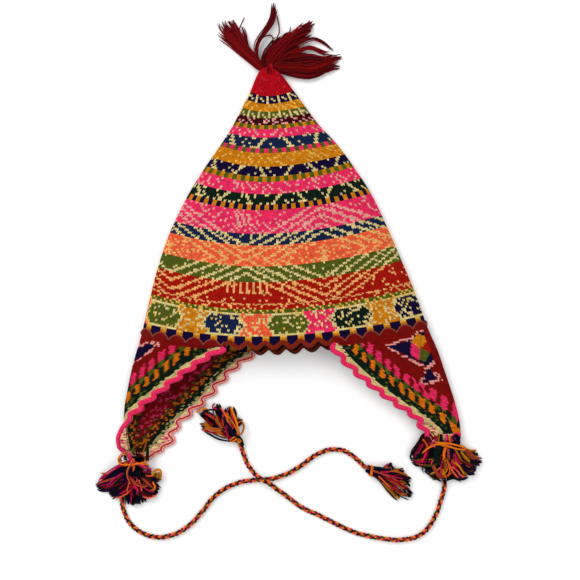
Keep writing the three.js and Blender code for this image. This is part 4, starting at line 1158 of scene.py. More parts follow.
def band_colours(chart, ground, fleck, share, where, rng, yarns):
    """The colour of each stitch in one band."""
    row, stitch, x, down, rows = where
    colours = np.full(row.shape + (3,), ground)
    if chart == "beads":
        for k in range(rows):
            line = BEADS[min(k, len(BEADS) - 1)]
            colours[k][np.array([letter == "c" for letter in line])[stitch[k] % len(line)]] = fleck
    elif chart == "check":
        colours[(stitch // 2) % 2 == 1] = fleck
    elif chart == "blocks":
        pale = (stitch + BLOCK_SHIFT) % STITCHES_A_WAVE >= BLOCK_STITCHES
        colours[pale] = fleck
        colours[pale & (row == 0)] = yarns["straw"]
    elif chart == "zigzag":
        place = stitch % ZIGZAG_STITCHES
        slant = row * ZIGZAG_SLANT / rows
        half = ZIGZAG_STITCHES // 2
        for line in (place - half / 4 - slant, place - half * 1.5 + slant):
            colours[np.abs(line) < ZIGZAG_HALF] = fleck
        for dotted, start in ((0, 1), (rows - 1, 4)):
            colours[(row == dotted) & (stitch % ZIGZAG_DOTS == start)] = fleck
    elif chart == "lozenge":
        colours[lozenge_lines(x, down)] = fleck
    elif chart == "motifs":
        colours = motif_colours(row, stitch, x, rows, ground, yarns)
        colours[rng.random(row.shape) < MOTIF_FLECKS] = ground
    return flecked(colours, ground, fleck, share, rng)


def lozenge_lines(x, down):
    """Which stitches carry the nested lozenge lines, the stars in their eyes or the dashes."""
    across = np.abs((x - LOZENGE_X) % LOZENGE_WIDE - LOZENGE_WIDE / 2)
    rise = np.abs(down - LOZENGE_DOWN)
    found = (across < STAR_HALF) & (rise < STAR_HIGH)
    found |= (np.abs(across - rise) < STAR_HALF) & (rise < STAR_WIDE)
    for line in LOZENGE_LINES:
        found |= np.abs(across * LOZENGE_SLOPE + rise - line) < LINE_HALF
    for spacing, count, first, last in DASH_ROWS:
        number = np.round((x - LOZENGE_X) / spacing)
        near = np.abs(x - LOZENGE_X - number * spacing) < DASH_HALF
        found |= near & (np.abs(number) <= count) & (down > first) & (down < last)
    return found


def motif_colours(row, stitch, x, rows, ground, yarns):
    """Hexagons and crosses in turn on a cream ground."""
    colours = np.full(row.shape + (3,), ground)
    pitch = stitch.shape[1] / MOTIF_COUNT
    near = np.argmin(np.abs(x[0][: stitch.shape[1] // 2] - MOTIF_X))
    place = (stitch - near) / pitch
    number = np.round(place).astype(int)
    offset = (place - number) * pitch
    level = np.abs((row + 0.5) / rows * 2 - 1)
    is_hexagon = number % 2 == 0
    wide, taper, power = HEXAGON
    hexagon = np.where(level > HEXAGON_END, 0, wide - taper * level**power)
    cross = CROSS_WAIST + CROSS_FLARE * level
    mine = np.abs(offset) < np.where(is_hexagon, hexagon, cross)
    neighbour = (np.abs(offset) > pitch - hexagon) & ~is_hexagon
    beside = number + np.sign(offset).astype(int)
    for k, name in enumerate(MOTIFS):
        colours[mine & ((number + MOTIF_SHIFT) % len(MOTIFS) == k)] = yarns[name]
        colours[neighbour & ((beside + MOTIF_SHIFT) % len(MOTIFS) == k)] = yarns[name]
    return colours


class ChulloCrown(Operator):
    """Knits the banded crown, with its inner face and its open brim"""

    bl_idname = "chullo.crown"
    bl_label = "Crown"

    def execute(self, context):
        yarns = palette()
        rng = np.random.default_rng(SEED)
        pile = Pile()
        start = CROWN_START
        done = 0
        for band in BANDS:
            done += knit_band(pile, start, band, done, context.scene.chullo_sizes, yarns, rng)
            start = band[0]
        inner_face(pile, yarns, rng)
        settle(pile, "crown_knit", "crown", knitted_wool)
        return {"FINISHED"}


def knit_band(pile, start, band, first_row, sizes, yarns, rng):
    """Knits one band of the crown and returns its number of rows."""
    end, ground, fleck, share, chart = band
    rows = max(2, round((end - start) / (sizes.row_height / MM)))
    downs = np.linspace(start, end, rows + 1)
    half = rows // 2
    in_two = half >= TIER_ROWS and chart != "motifs"
    repeat = CHART_REPEATS.get(chart, 2)
    done = 0
    for tier in [downs[: half + 1], downs[half:]] if in_two else [downs]:
        wide = line_length(ring_line(tier.mean())) / (sizes.stitch_width / MM)
        count = max(1, round(wide / repeat)) * repeat
        if chart == "blocks":
            count = brim_waves() * STITCHES_A_WAVE
        lines = np.stack([evenly(ring_line(down), 4 * count) for down in tier])
        row, stitch = np.indices((len(tier) - 1, count))
        level = (tier[:-1] + tier[1:])[:, None] / 2 + 0 * stitch
        where = (row, stitch, lines[:-1, 2::4, 0], level, len(tier) - 1)
        colours = band_colours(chart, yarns[ground], yarns[fleck], share, where, rng, yarns)
        knit(pile, lines, uneven(colours, CROWN_UNEVEN, rng), sizes.relief / MM, first_row=first_row + done)
        done += len(tier) - 1
    return done


def inner_face(pile, yarns, rng):
    """The crown's inside, with the yarns that run behind the stitches, and the hem that joins it, darkened as
    painted shade.
    """
    downs = np.arange(INNER_START, CROWN_LENGTH, INNER_ROW)
    stitches = np.arange(INNER_STITCHES + 1.0)
    turn, down = np.meshgrid(np.linspace(0, 1, INNER_STITCHES + 1), downs)
    purl = np.where((stitches[None] + np.arange(len(downs))[:, None]) % 2, INNER_PURL, -INNER_PURL)
    inside = round_crown(turn, down) - crown_normal(turn, down) * (KNIT_THICK + purl[..., None])
    colours = np.empty((len(downs) - 1, INNER_STITCHES, 3))
    ends = [band[0] for band in BANDS]
    for k, level in enumerate(np.searchsorted(ends, downs[:-1] + INNER_LOOK)):
        _, ground, fleck, _, _ = BANDS[min(level, len(BANDS) - 1)]
        pick = rng.random(INNER_STITCHES)[:, None] < INNER_FLECKS
        colours[k] = np.where(pick, yarns[fleck], yarns[ground])
    # The inner face's colours are darkened as painted shade
    pile.grid(inside, darker(colours, INNER_PAINTED_SHADE), crossed(stitches, np.arange(len(downs))))
    turn, depth = np.meshgrid(turn[0], np.linspace(0, 1, 3))
    level = np.full(turn.shape, CROWN_LENGTH)
    rim = round_crown(turn, level) - crown_normal(turn, level) * (KNIT_THICK * depth[..., None])
    places = np.stack([turn * RIM_STITCHES, depth], axis=-1)
    # The rim at the crown's lower edge is navy darkened as painted shade
    pile.grid(rim, darker(yarns["navy"], RIM_PAINTED_SHADE), places, flip=True)


class ChulloFlaps(Operator):
    """Knits the two folded ear flaps"""

    bl_idname = "chullo.flaps"
    bl_label = "Ear flaps"

    def execute(self, context):
        for side in FLAPS:
            knit_flap(side, context.scene.chullo_sizes)
        return {"FINISHED"}


def to_line(points, line):
    """How far each point lies from a line of points, and how far along it the nearest place is."""
    along = travelled(line)
    best = np.full(points.shape[:-1], np.inf)
    place = np.zeros(points.shape[:-1])
    for k in range(len(line) - 1):
        step = line[k + 1] - line[k]
        t = np.clip(((points - line[k]) @ step) / (step @ step), 0, 1)
        gap = np.linalg.norm(points - line[k] - t[..., None] * step, axis=-1)
        near = gap < best
        best = np.where(near, gap, best)
        place = np.where(near, along[k] + t * np.linalg.norm(step), place)
    return best, place


def inside_outline(points, outline):
    """Which points lie inside a closed outline."""
    x, y = points[..., 0], points[..., 1]
    inside = np.zeros(x.shape, bool)
    for k, (x0, y0) in enumerate(outline):
        x1, y1 = outline[k - 1]
        if y0 == y1:
            continue
        crosses = (y0 > y) != (y1 > y)
        inside ^= crosses & (x < (x1 - x0) * (y - y0) / (y1 - y0) + x0)
    return inside


def flap_colours(gap, along, rng, yarns):
    """The flap's bands, by how far a stitch lies from the edge and how far along it."""
    colours = np.full(gap.shape + (3,), yarns["deep_red"])
    place = (along + DASH_SLANT * gap) / DASH_PITCH
    for name, near, far, start, share in FLAP_BANDS:
        ragged = gap + rng.uniform(-0.5, 0.5, gap.shape)
        colours[(ragged > near) & (ragged < far) & ((place - start) % 1 < share)] = yarns[name]
    green = (gap < GREEN_UNTIL) | ((gap > GREEN_AGAIN[0]) & (gap < GREEN_AGAIN[1]))
    colours[green & (gap > CREAM_ROW) & (rng.random(gap.shape) < GREEN_FLECKS)] = yarns["olive"]
    colours[gap < CREAM_ROW] = yarns["cream"]
    colours[(gap < CREAM_ROW + CREAM_FRAY) & (rng.random(gap.shape) < CREAM_FLECKS)] = yarns["cream"]
    return colours


def knit_flap(side, sizes):
    """Knits one flap, its outer face and its inner one."""
    flap = FLAPS[side]
    sign = flap["side"]
    yarns = palette()
    rng = np.random.default_rng(SEED + sign)
    last = len(flap["rows"])
    fine = np.linspace(0, last, FLAP_FINE * last + 1)
    outline = np.stack([flap_line(flap, at) for at in fine])
    deep = travelled(outline[:, FLAP_STEPS])
    row_count = round(deep[-1] / (sizes.row_height / MM))
    rows_at = np.interp(np.linspace(0, deep[-1], row_count + 1), deep, fine)
    pile = Pile()
    for first in range(0, row_count, FLAP_TIER):
        ats = rows_at[first : first + FLAP_TIER + 1]
        widths = [line_length(flap_line(flap, at)) for at in (ats[0], ats[-1])]
        count = max(FLAP_LEAST, round(sum(widths) / 2 / (sizes.stitch_width / MM)))
        lines = np.stack([evenly(flap_line(flap, at), 4 * count) for at in ats])
        middle = (lines[:-1, 2::4] + lines[1:, 2::4]) / 2
        (front_gap, front_along), (back_gap, back_along) = (to_line(middle, outline[:, k]) for k in (0, -1))
        gap = np.minimum(front_gap, back_gap)
        along = np.where(front_gap < back_gap, front_along, back_along)
        colours = flap_colours(gap, along, rng, yarns)
        row, stitch = np.indices(gap.shape)
        colours[(first + row < PLAIN_ROWS) & (gap > CREAM_ROW)] = yarns["deep_red"]
        for name, share, figure in FIGURES[side]:
            inside = inside_outline(middle, figure) & (gap > FIGURES_FROM) & (stitch < count / 2)
            colours[inside & (rng.random(gap.shape) < share)] = yarns[name]
        colours = uneven(colours, FLAP_UNEVEN, rng)
        knit(pile, lines, colours, sizes.relief / MM, normal_sign=sign, first_row=first)
        flap_inside(pile, lines, gap, along, sign, rng, yarns)
    settle(pile, f"ear_flap_{side}_knit", f"ear_flap_{side}", knitted_wool)


def flap_inside(pile, lines, gap, along, sign, rng, yarns):
    """The flap's inner face, where the yarns cross behind the stitches in mixed colours darkened as painted
    shade.
    """
    normal = unit(np.cross(np.gradient(lines, axis=0), np.gradient(lines, axis=1))) * sign
    place = np.arange(2 * gap.shape[1] + 1)
    depth = INSIDE_DEPTH + np.where(place % 2, INSIDE_PURL, 0.0)
    points = lines[:, ::2] - normal[:, ::2] * depth[None, :, None]
    blurred = INSIDE_REACH * gap + rng.normal(0, INSIDE_BLUR[0], gap.shape)
    mixed = flap_colours(blurred, along + rng.normal(0, INSIDE_BLUR[1], gap.shape), rng, yarns)
    for name, beyond, share in INSIDE_FLECKS:
        mixed[(gap > beyond) & (rng.random(gap.shape) < share)] = yarns[name]
    # The inner face's colours are darkened as painted shade
    mixed = np.repeat(darker(mixed, INNER_PAINTED_SHADE), 2, axis=1)
    pile.grid(points, mixed, crossed(place / 2, np.arange(len(points)) + 0.5), flip=sign < 0)


class ChulloTassels(Operator):
    """Gathers the yarn tassels at the point, on the flaps and on the ties"""

    bl_idname = "chullo.tassels"
    bl_label = "Tassels"

    def execute(self, context):
        sizes = context.scene.chullo_sizes
        for name in TASSELS:
            thick = sizes.top_yarn if name == "top_tassel" else sizes.tassel_yarn
            gather(name, thick / MM / 2)
        return {"FINISHED"}


def neck_height(tassel):
    """How high a tassel's neck stands above the surface."""
    extra = tassel["wrap"][2] + PIECE_GAP if tassel["wrap"] else 0
    return FLOOR_GAP + tassel["half"][1] + extra


def lock_centre(tassel, lock, t):
    """Places along a lock's middle line, with its half sizes there and the way across it."""
    neck, head, tip = (np.array(p, float) for p in (tassel["neck"], tassel["head"], lock[:2]))
    start = head - LOCK_BACK * unit(head - neck)
    aside = unit(np.array([(tip - head)[1], -(tip - head)[0]]))
    middle = (start + tip) / 2 + aside * lock[4]
    half_wide = lock[2] / 2 * np.interp(t, LOCK_AT, LOCK_WIDE)
    half_high = lock[3] / 2 * np.interp(t, LOCK_AT, LOCK_HIGH)
    rest = FLOOR_GAP + half_high
    hung = np.maximum(rest, neck_height(tassel))
    z = hung + (rest - hung) * np.minimum(1, t * LOCK_FALL)
    t = t[:, None]
    plan = (1 - t) ** 2 * start + 2 * t * (1 - t) * middle + t**2 * tip
    tangent = unit(2 * (1 - t) * (middle - start) + 2 * t * (tip - middle))
    return np.column_stack([plan, z]), half_wide, half_high, left_of(tangent)


def left_of(ways):
    """The level way across each of some ways in plan."""
    return np.stack([-ways[..., 1], ways[..., 0], 0 * ways[..., 0]], axis=-1)


def strands(pile, middle, across, half_wide, half_high, radius, colour, rng):
    """Adds the loose strands of one hank round its middle line."""
    count = max(3, round(STRAND_FILL * np.mean(half_wide) * np.mean(half_high) / radius**2))
    t = np.linspace(0, 1, len(middle))
    angle = rng.uniform(0, 2 * math.pi, (count, 1))
    out = np.sqrt(rng.uniform(0, 1, (count, 1)))
    beat = rng.uniform(*STRAND_BEAT, (count, 1))
    sway = rng.uniform(*STRAND_SWAY, (count, 1)) * np.sin(t * beat + rng.uniform(0, 6, (count, 1))) * t
    wide = (out * np.cos(angle) + sway) * half_wide
    high = (out * np.sin(angle) + sway / 2) * half_high
    paths = middle + across * wide[..., None] + UP * high[..., None]
    reach = rng.uniform(STRAND_REACH, 1, count)
    paths = np.stack([read_at(t * most, t, path) for path, most in zip(paths, reach)])
    paths[..., 2] = np.maximum(paths[..., 2], radius + LEAST_HEIGHT)
    radii = np.full(paths.shape[:2], radius)
    for end, share in STRAND_ENDS:
        radii[:, end] = radius * share
    tint = colour * rng.uniform(*STRAND_SHADES, (count, 1)) * rng.normal(1, STRAND_TINT, (count, 3))
    pile.tubes(paths, radii, tint, STRAND_SIDES)


def gather(name, radius):
    """Makes one tassel: hanks of plain yarn that fill its locks, with the hanks that stand out."""
    tassel = TASSELS[name]
    yarns = palette()
    rng = np.random.default_rng(SEED + sorted(TASSELS).index(name))
    pile = Pile()
    for lock in tassel["locks"]:
        for colour in tassel["yarns"]:
            fill_lock(pile, tassel, lock, radius, yarns[colour], rng)
        for colour in tassel["stray"]:
            aside = rng.uniform(-STRAY_ASIDE, STRAY_ASIDE)
            stray_strands(pile, tassel, lock, aside, radius, yarns[colour], rng)
    t = np.linspace(0, 1, HANK_STEPS + 1)
    for colour, level, near, far, points in HANKS[name]:
        middle = spline(points, HANK_STEPS)
        middle[:, 2] = level * (1 - HANK_FALL * smoothstep(t, 0.5, 1))
        across = left_of(unit(np.gradient(middle[:, :2], axis=0)))
        half = (near + (far - near) * t) * (HANK_START + (1 - HANK_START) * smoothstep(t, 0, HANK_OPENS))
        strands(pile, middle, across, half, half * HANK_FLAT, radius, yarns[colour], rng)
    settle(pile, f"{name}_yarn", name, plied_wool)


def fill_lock(pile, tassel, lock, radius, colour, rng):
    """Lays one hank from the neck down into a lock."""
    neck, head = (np.array(tassel[part], float) for part in ("neck", "head"))
    way = unit(head - neck)
    side = left_of(way)
    t = np.linspace(LOCK_FROM, 1, HANK_STEPS - 1)
    centre, half_wide, half_high, across = lock_centre(tassel, lock, t)
    aside = rng.uniform(-LOCK_ASIDE, LOCK_ASIDE)
    below = rng.uniform(-LOCK_BELOW, 0)
    start = neck + side[:2] * aside * tassel["half"][0]
    low = FLOOR_GAP + tassel["half"][1] * (1 + below / 2)
    high = neck_height(tassel) + tassel["half"][1] * below / 2
    body = centre + across * (aside * half_wide)[:, None] + UP * (below * half_high)[:, None]
    middle = np.vstack([[*start, low], [*(start + way * NECK_STEP), high], body])
    for _ in range(2):
        middle[1:-1] = (middle[:-2] + 2 * middle[1:-1] + middle[2:]) / 4
    hank = np.interp(np.linspace(0, 1, len(middle)), LOCK_AT, LOCK_FILL)
    sides = np.vstack([side, side, across])
    strands(pile, middle, sides, hank * lock[2] / 2, hank * lock[3] / 2, radius, colour, rng)


def stray_strands(pile, tassel, lock, aside, radius, colour, rng):
    """Lays a few single strands over a lock, some way to one side of its middle."""
    t = np.linspace(rng.uniform(*STRAY_FROM), rng.uniform(*STRAY_TO), HANK_STEPS + 1)
    middle, half_wide, half_high, across = lock_centre(tassel, lock, t)
    middle = middle + across * (2 * aside * half_wide)[:, None]
    middle[:, 2] += half_high * rng.uniform(*STRAY_LIFT)
    narrow = np.full(len(t), radius * STRAY_HALF)
    strands(pile, middle, across, narrow, narrow, radius * STRAY_THIN, colour, rng)


class ChulloWraps(Operator):
    """Winds the yarn round the tassels' necks"""

    bl_idname = "chullo.wraps"
    bl_label = "Wound yarn"

    def execute(self, context):
        for name, tassel in TASSELS.items():
            if tassel["wrap"]:
                wind(name, tassel, context.scene.chullo_sizes.wound_yarn / MM / 2)
        return {"FINISHED"}


def wind(name, tassel, radius):
    """Winds yarn round one neck in a few uneven turns."""
    rng = np.random.default_rng(SEED + len(name))
    along, long, thick = tassel["wrap"]
    turns = max(2, round(long / WRAP_TURN))
    neck = np.array([*tassel["neck"], neck_height(tassel)])
    way = unit(np.array([*tassel["head"], neck[2]]) - neck)
    angle = np.linspace(0, 2 * math.pi * turns, WRAP_STEPS * turns + 1)[:, None]
    sway = WRAP_SWAY * np.sin(angle * WRAP_SWAY_BEAT + rng.uniform(0, 6))
    at = along + long * WRAP_SPREAD * (angle / angle[-1] - 0.5) + sway
    swell = (1 + np.sin(angle * WRAP_SWELL_BEAT)) / 2
    grow = PIECE_GAP + radius + (thick / 2 - radius) * swell
    half_wide, half_high = tassel["half"]
    ring = left_of(way) * (half_wide + grow) * np.cos(angle) + UP * (half_high + grow) * np.sin(angle)
    path = neck + way * at + ring
    pile = Pile()
    pile.tubes([path], radius, palette()["orange"], WRAP_SIDES)
    node_name = name.replace("tassel", "tassel_wrap")
    settle(pile, f"{node_name}_yarn", node_name, plied_wool)


def spline(points, steps):
    """A smooth centripetal curve through points in plan, sampled evenly."""
    points = np.asarray(points, float)
    points = np.vstack([2 * points[0] - points[1], points, 2 * points[-1] - points[-2]])
    out = []
    for k in range(1, len(points) - 2):
        p = list(points[k - 1 : k + 3])
        knot = np.concatenate([[0], np.cumsum(np.linalg.norm(np.diff(p, axis=0), axis=1) ** 0.5)])
        t = np.linspace(knot[1], knot[2], SPLINE_STEPS, endpoint=False)[:, None]
        for first, last in ((0, 1), (0, 2), (1, 2)):
            spans = zip(knot[first:], knot[last:], p, p[1:])
            p = [((end - t) * one + (t - start) * two) / (end - start) for start, end, one, two in spans]
        out.append(p[0])
    line = np.vstack([*out, points[-2]])
    return evenly(np.column_stack([line, np.zeros(len(line))]), steps)


def tie_line(side, steps):
    """A tie's middle line: it lies on the surface, and the right one crosses over the left one."""
    line = spline(TIES[side], steps)
    line[:, 2] = CORD_DIAMETER / 2 + LEAST_HEIGHT
    if side == "right":
        away = np.hypot(line[:, 0] - CROSSING[0], line[:, 1] - CROSSING[1])
        line[:, 2] += (1 - smoothstep(away, CROSSING_FLAT, CROSSING_REACH)) * (CORD_DIAMETER + PIECE_GAP)
    return line


class ChulloTies(Operator):
    """Braids the two ties and lays them out"""

    bl_idname = "chullo.ties"
    bl_label = "Ties"

    def execute(self, context):
        for side in TIES:
            braid(side, context.scene.chullo_sizes.tie_braid / MM)
        return {"FINISHED"}


def braid(side, pitch):
    """Braids one tie from three strands of two plies each."""
    yarns = palette()
    line = tie_line(side, TIE_STEPS)
    total = line_length(line)
    at = np.linspace(0, total, len(line))[:, None]
    forward = unit(np.gradient(line, axis=0))
    across = unit(np.cross(forward, UP))
    up = np.cross(across, forward)
    pile = Pile()
    for k, pair in enumerate(BRAID_YARNS):
        turn = 2 * math.pi * (at / pitch + k / len(BRAID_YARNS))
        strand = line + across * (BRAID_WIDE * np.sin(turn)) + up * (BRAID_HIGH * np.sin(2 * turn))
        for ply, name in enumerate(pair):
            twist = 2 * math.pi * (at / PLY_TWIST + ply / len(pair))
            path = strand + across * (PLY_APART * np.cos(twist)) + up * (PLY_APART * np.sin(twist))
            pile.tubes([path], PLY_RADIUS, yarns[name], PLY_SIDES)
    piece = settle(pile, f"tie_{side}_braid", f"tie_cord_{side}", plied_wool)


class ChulloEdgings(Operator):
    """Works the wavy edgings of the brim and the flaps"""

    bl_idname = "chullo.edgings"
    bl_label = "Edgings"

    def execute(self, context):
        brim_edging()
        for side in FLAPS:
            flap_edging(side)
        return {"FINISHED"}


def ridge(pile, path, out, normal, centre, form, tints):
    """A rounded ridge along a waving line, with a tint for each place round it."""
    line = path + out * centre[:, None]
    side = unit(np.cross(unit(np.gradient(line, axis=0)), normal))
    angle = np.linspace(0, 2 * math.pi, RIDGE_SIDES + 1)
    skin = (
        line[:, None]
        + side[:, None] * (form["half"] * np.cos(angle))[None, :, None]
        + normal[:, None] * (form["high"] * np.sin(angle))[None, :, None]
    )
    pile.grid(skin, tints, crossed(angle, travelled(line) / PLY_PITCH))


def around_ridge(face, trim, back, back_line, steps):
    """Tints round a ridge: its face with a trimmed side to each edge, and its back with a line. The brim's
    ridge gets paler and darker copies of its rust, as painted highlight on its sides and painted shade on its
    back.
    """
    high = np.sin((np.arange(RIDGE_SIDES) + 0.5) / RIDGE_SIDES * 2 * math.pi)
    tints = np.full((steps, RIDGE_SIDES, 3), back)
    tints[:, high > 0] = trim
    tints[:, high > RIDGE_FACE] = face
    tints[:, high < RIDGE_LINE] = back_line
    return tints


def strip(pile, path, out, normal, far, height, tints):
    """A flat strip of knitting from the path's edge out to some distance beyond it."""
    share = np.linspace(0, 1, tints.shape[1] + 1)
    reach = STRIP_START + (far - STRIP_START)[:, None] * share
    points = path[:, None] + out[:, None] * reach[..., None] + normal[:, None] * height
    places = crossed(share * tints.shape[1], np.arange(len(path)) * STRIP_ROW)
    pile.grid(points, tints, places, flip=height < 0)


def waves_along(steps):
    """How far out a wave stands at each step, from 0 to 1."""
    return 0.5 + 0.5 * np.cos(2 * math.pi * np.arange(steps + 1) / STEPS_A_WAVE)


def brim_edging():
    """The brim's edging: a waved rust ridge where it is free, and red scallops above the flaps."""
    yarns = palette()
    rng = np.random.default_rng(SEED)
    line = ring_line(RIM_DOWN)
    steps = brim_waves() * STEPS_A_WAVE
    along = travelled(line)
    turn = np.interp(np.linspace(0, along[-1], steps + 1), along, np.linspace(0, ONCE_ROUND, len(line)))
    flat = np.full(len(turn), CROWN_LENGTH)
    normal = crown_normal(turn, flat)
    out = unit(round_crown(turn, flat + OUT_STEP) - round_crown(turn, flat))
    middle = round_crown(turn, flat) - normal * (KNIT_THICK / 2)
    places = [turn_at(True, share) for share in FREE_FRONT] + [turn_at(False, share) for share in FREE_BACK]
    cuts = [0, *(int(np.searchsorted(turn, place)) for place in places), steps]
    centre = BRIM_RIDGE["near"] + (BRIM_RIDGE["far"] - BRIM_RIDGE["near"]) * waves_along(steps)
    is_navy = (np.arange(steps) + NAVY_SHIFT) % STEPS_A_WAVE < NAVY_STEPS
    rust = yarns["rust"]
    pile = Pile()
    for number, (first, last) in enumerate(zip(cuts[:-1], cuts[1:])):
        run = slice(first, last + 1)
        blocks = np.where(is_navy[first:last, None, None], yarns["navy"], yarns["gold"])
        blocks = uneven(np.repeat(blocks, EDGE_ROWS, axis=1), EDGE_UNEVEN, rng)
        if number % 2 == 0:
            scallops(pile, middle[run], out[run], normal[run], first, blocks, yarns, rng)
            continue
        strip(pile, middle[run], out[run], normal[run], centre[run], BRIM_HALF, blocks)
        # The back strip's blocks, darkened as painted shade
        strip(pile, middle[run], out[run], normal[run], centre[run], -BRIM_HALF, darker(blocks, BACK_PAINTED_SHADE))
        # The ridge's rust, paled on its sides as painted highlight and darkened on its back as painted shade
        tints = around_ridge(rust, paler(rust, *RIDGE_PAINTED_HIGHLIGHT), darker(rust, RIDGE_PAINTED_SHADE), rust, last - first)
        ridge(pile, middle[run], out[run], normal[run], centre[run], BRIM_RIDGE, tints)
    settle(pile, "brim_edging_knit", "brim_edging", knitted_wool)


def scallops(pile, path, out, normal, first, blocks, yarns, rng):
    """Round red scallops that stand over the blocks and run on into a flap."""
    count = len(path) - 1
    phase = math.pi * (first + np.arange(count + 1)) / STEPS_A_WAVE
    edge = SCALLOP_FAR - (SCALLOP_FAR - SCALLOP_NEAR) * np.abs(np.sin(phase)) ** SCALLOP_ROUND
    end = np.full(count + 1, SCALLOP_END)
    strip(pile, path, out, normal, end, BRIM_HALF, blocks)
    share = np.linspace(0, 1, SCALLOP_ROWS + 1)
    reach = edge[:, None] + (end - edge)[:, None] * share
    height = KNIT_THICK / 2 + SCALLOP_HIGH * (1 - share) ** SCALLOP_BOW
    points = path[:, None] + out[:, None] * reach[..., None] + normal[:, None] * height[None, :, None]
    red = uneven(np.full((count, SCALLOP_ROWS, 3), yarns["deep_red"]), FLAP_UNEVEN, rng)
    along = np.arange(count + 1) * EDGE_PITCH / STEPS_A_WAVE / PLY_PITCH
    pile.grid(points, red, crossed(share * SCALLOP_ROWS, along))
    rim = path + out * edge[:, None] + normal * (KNIT_THICK / 2 + SCALLOP_RIM["high"])
    pile.tubes([rim], SCALLOP_RIM["radius"], paler(yarns["rust"], *SCALLOP_TRIM), PLY_SIDES)


def flap_rim(flap):
    """The line round a flap's edges and neck, with its way out of the face and beyond the edge."""
    last = len(flap["rows"])
    ats = np.linspace(0, last, RIM_FINE * last + 1)
    lines = np.stack([evenly(flap_line(flap, at), FLAP_STEPS) for at in ats])
    along = unit(np.gradient(lines, axis=0))
    across = unit(np.gradient(lines, axis=1))
    normal = unit(np.cross(across, along)) * -flap["side"]
    middle = lines - normal * (KNIT_THICK / 2)
    kinds = ((middle, middle, middle), (normal, normal, normal), (-across, along, across))
    path, normals, outs = (
        np.vstack([front[:, 0], neck[-1, NECK_STITCHES], back[::-1, -1]]) for front, neck, back in kinds
    )
    for _ in range(RIM_SMOOTHINGS):
        outs[1:-1] = unit(outs[:-2] + 2 * outs[1:-1] + outs[2:])
    reach = travelled(path)
    at = np.linspace(0, reach[-1], round(reach[-1] / EDGE_PITCH) * STEPS_A_WAVE + 1)
    path, normals, outs = (read_at(at, reach, values) for values in (path, normals, outs))
    neck_at = (reach[len(ats) - 1] + reach[len(reach) - len(ats)]) / 2
    return path, unit(normals), unit(outs), np.abs(at - neck_at)


def flap_edging(side):
    """A flap's scalloped edging, down one edge, across the neck and up the other."""
    yarns = palette()
    rng = np.random.default_rng(SEED)
    path, normals, outs, from_neck = flap_rim(FLAPS[side])
    steps = len(path) - 1
    is_front = np.arange(steps + 1) < np.argmin(from_neck)
    (front_curl, front_start), (back_curl, back_start) = EDGE_CURL[side]
    (near, full), (leaving, gone) = CURL_REACH
    aside = smoothstep(from_neck, near, full) * (1 - smoothstep(from_neck, leaving, gone))
    begin = np.where(is_front, front_start, back_start)
    waved = smoothstep(from_neck, begin, begin + WAVE_GROWS)
    turned = (is_front * aside * (front_curl < 0))[:, None]
    outs = unit(outs * (1 - turned) + INWARD * turned)
    deep = (FLAP_RIDGE["far"] - FLAP_RIDGE["near"]) * EDGE_DEPTH[side]
    wave = deep * (1 - waves_along(steps)) * waved
    centre = FLAP_RIDGE["near"] + wave + np.where(is_front, front_curl, back_curl) * aside
    hem = np.full((steps, EDGE_ROWS, 3), yarns["cream"])
    for name, share in HEM_FLECKS:
        hem[(aside[:-1, None] > HEM_FROM) & (rng.random((steps, EDGE_ROWS)) < share)] = yarns[name]
    hem = uneven(hem, EDGE_UNEVEN, rng)
    pile = Pile()
    for height in (HEM_HALF, -HEM_HALF):
        strip(pile, path, outs, normals, centre, height, hem)
    tints = around_ridge(yarns["pink"], yarns["magenta"], yarns["blush"], yarns["crimson"], steps)
    ridge(pile, path, outs, normals, centre, FLAP_RIDGE, uneven(tints, FLAP_UNEVEN, rng))
    settle(pile, f"flap_edging_{side}_knit", f"flap_edging_{side}", knitted_wool)


class ChulloStage(Operator):
    """Sets the pale floor, the soft light and the camera over the hat"""

    bl_idname = "chullo.stage"
    bl_label = "Stage"

    def execute(self, context):
        scene = context.scene
        bpy.ops.mesh.primitive_plane_add(size=FLOOR_SIZE, location=(0, 0, 0))
        floor = context.object
        floor.name = "floor"
        floor.data.materials.append(floor_material())
        scene.world = bpy.data.worlds.new("Studio")
        scene.world.use_nodes = True
        sky = scene.world.node_tree.nodes["Background"]
        sky.inputs["Color"].default_value = (1, 1, 1, 1)
        sky.inputs["Strength"].default_value = SKY_STRENGTH
        for name, place, size, power in LIGHTS:
            add_light(name, place, size, power)
        data = bpy.data.cameras.new("camera")
        data.sensor_width = CAMERA["sensor"]
        data.lens = CAMERA["sensor"] * (CAMERA["place"][2] - CAMERA["level"]) / CAMERA["seen"]
        data.clip_start = CAMERA["clip"]
        camera = bpy.data.objects.new("camera", data)
        camera.location = CAMERA["place"]
        camera.rotation_euler = (0, 0, math.radians(CAMERA["turn"]))
        scene.collection.objects.link(camera)
        scene.camera = camera
        scene.view_settings.view_transform = "Standard"
        scene.view_settings.look = "None"
        return {"FINISHED"}


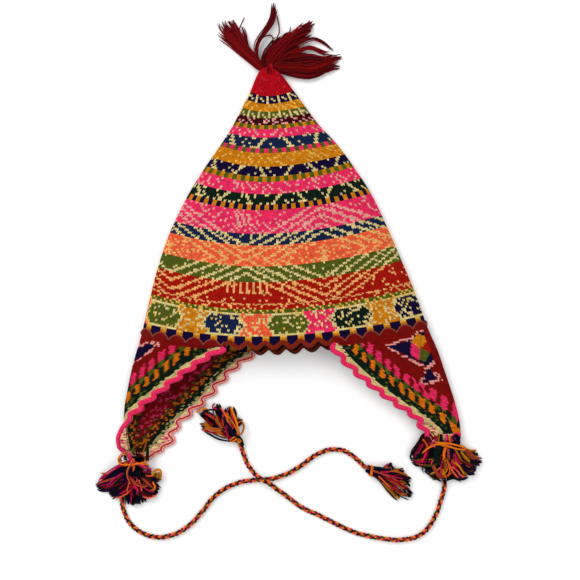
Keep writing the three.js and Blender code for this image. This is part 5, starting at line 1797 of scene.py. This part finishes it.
def add_light(name, place, size, power):
    """A soft square light that faces the hat."""
    data = bpy.data.lights.new(name, "AREA")
    data.size = size
    data.energy = power
    light = bpy.data.objects.new(name, data)
    light.location = place
    x, y, z = place
    light.rotation_euler = (math.atan2(math.hypot(x, y), z), 0, math.atan2(-x, y) + math.pi)
    bpy.context.scene.collection.objects.link(light)


def floor_material():
    """A plain pale matt surface."""
    material, tree, shader = new_tree("Pale floor")
    place = node(tree, "ShaderNodeTexCoord").outputs["Object"]
    grain = node(tree, "ShaderNodeTexNoise", {"Vector": place, "Scale": FLOOR_GRAIN})
    shade = node(tree, "ShaderNodeValToRGB", {"Fac": grain.outputs["Fac"]})
    for element, grey in zip(shade.color_ramp.elements, FLOOR_GREYS):
        element.color = (grey, grey, grey, 1)
    tree.links.new(shade.outputs["Color"], shader.inputs["Base Color"])
    shader.inputs["Roughness"].default_value = FLOOR_ROUGHNESS
    return material


PIECES = (ChulloStage, ChulloCrown, ChulloFlaps, ChulloEdgings, ChulloTassels, ChulloWraps, ChulloTies)


class ChulloPanel(Panel):
    """Lists the hat's pieces"""

    bl_idname = "VIEW3D_PT_chullo"
    bl_label = "Chullo hat"
    bl_space_type = "VIEW_3D"
    bl_region_type = "UI"
    bl_category = "Chullo"

    def draw(self, context):
        for piece in PIECES:
            self.layout.operator(piece.bl_idname)


CLASSES = (ChulloYarns, ChulloSizes, *PIECES, ChulloPanel)


def register():
    """Adds the hat's settings and its operators."""
    for entry in CLASSES:
        bpy.utils.register_class(entry)
    bpy.types.Scene.chullo_yarns = PointerProperty(type=ChulloYarns)
    bpy.types.Scene.chullo_sizes = PointerProperty(type=ChulloSizes)


def unregister():
    """Takes them away again."""
    del bpy.types.Scene.chullo_sizes
    del bpy.types.Scene.chullo_yarns
    for entry in reversed(CLASSES):
        bpy.utils.unregister_class(entry)


def main():
    """Makes the whole hat."""
    register()
    bpy.ops.chullo.stage()
    bpy.ops.chullo.crown()
    bpy.ops.chullo.flaps()
    bpy.ops.chullo.edgings()
    bpy.ops.chullo.tassels()
    bpy.ops.chullo.wraps()
    bpy.ops.chullo.ties()


if __name__ == "__main__":
    main()
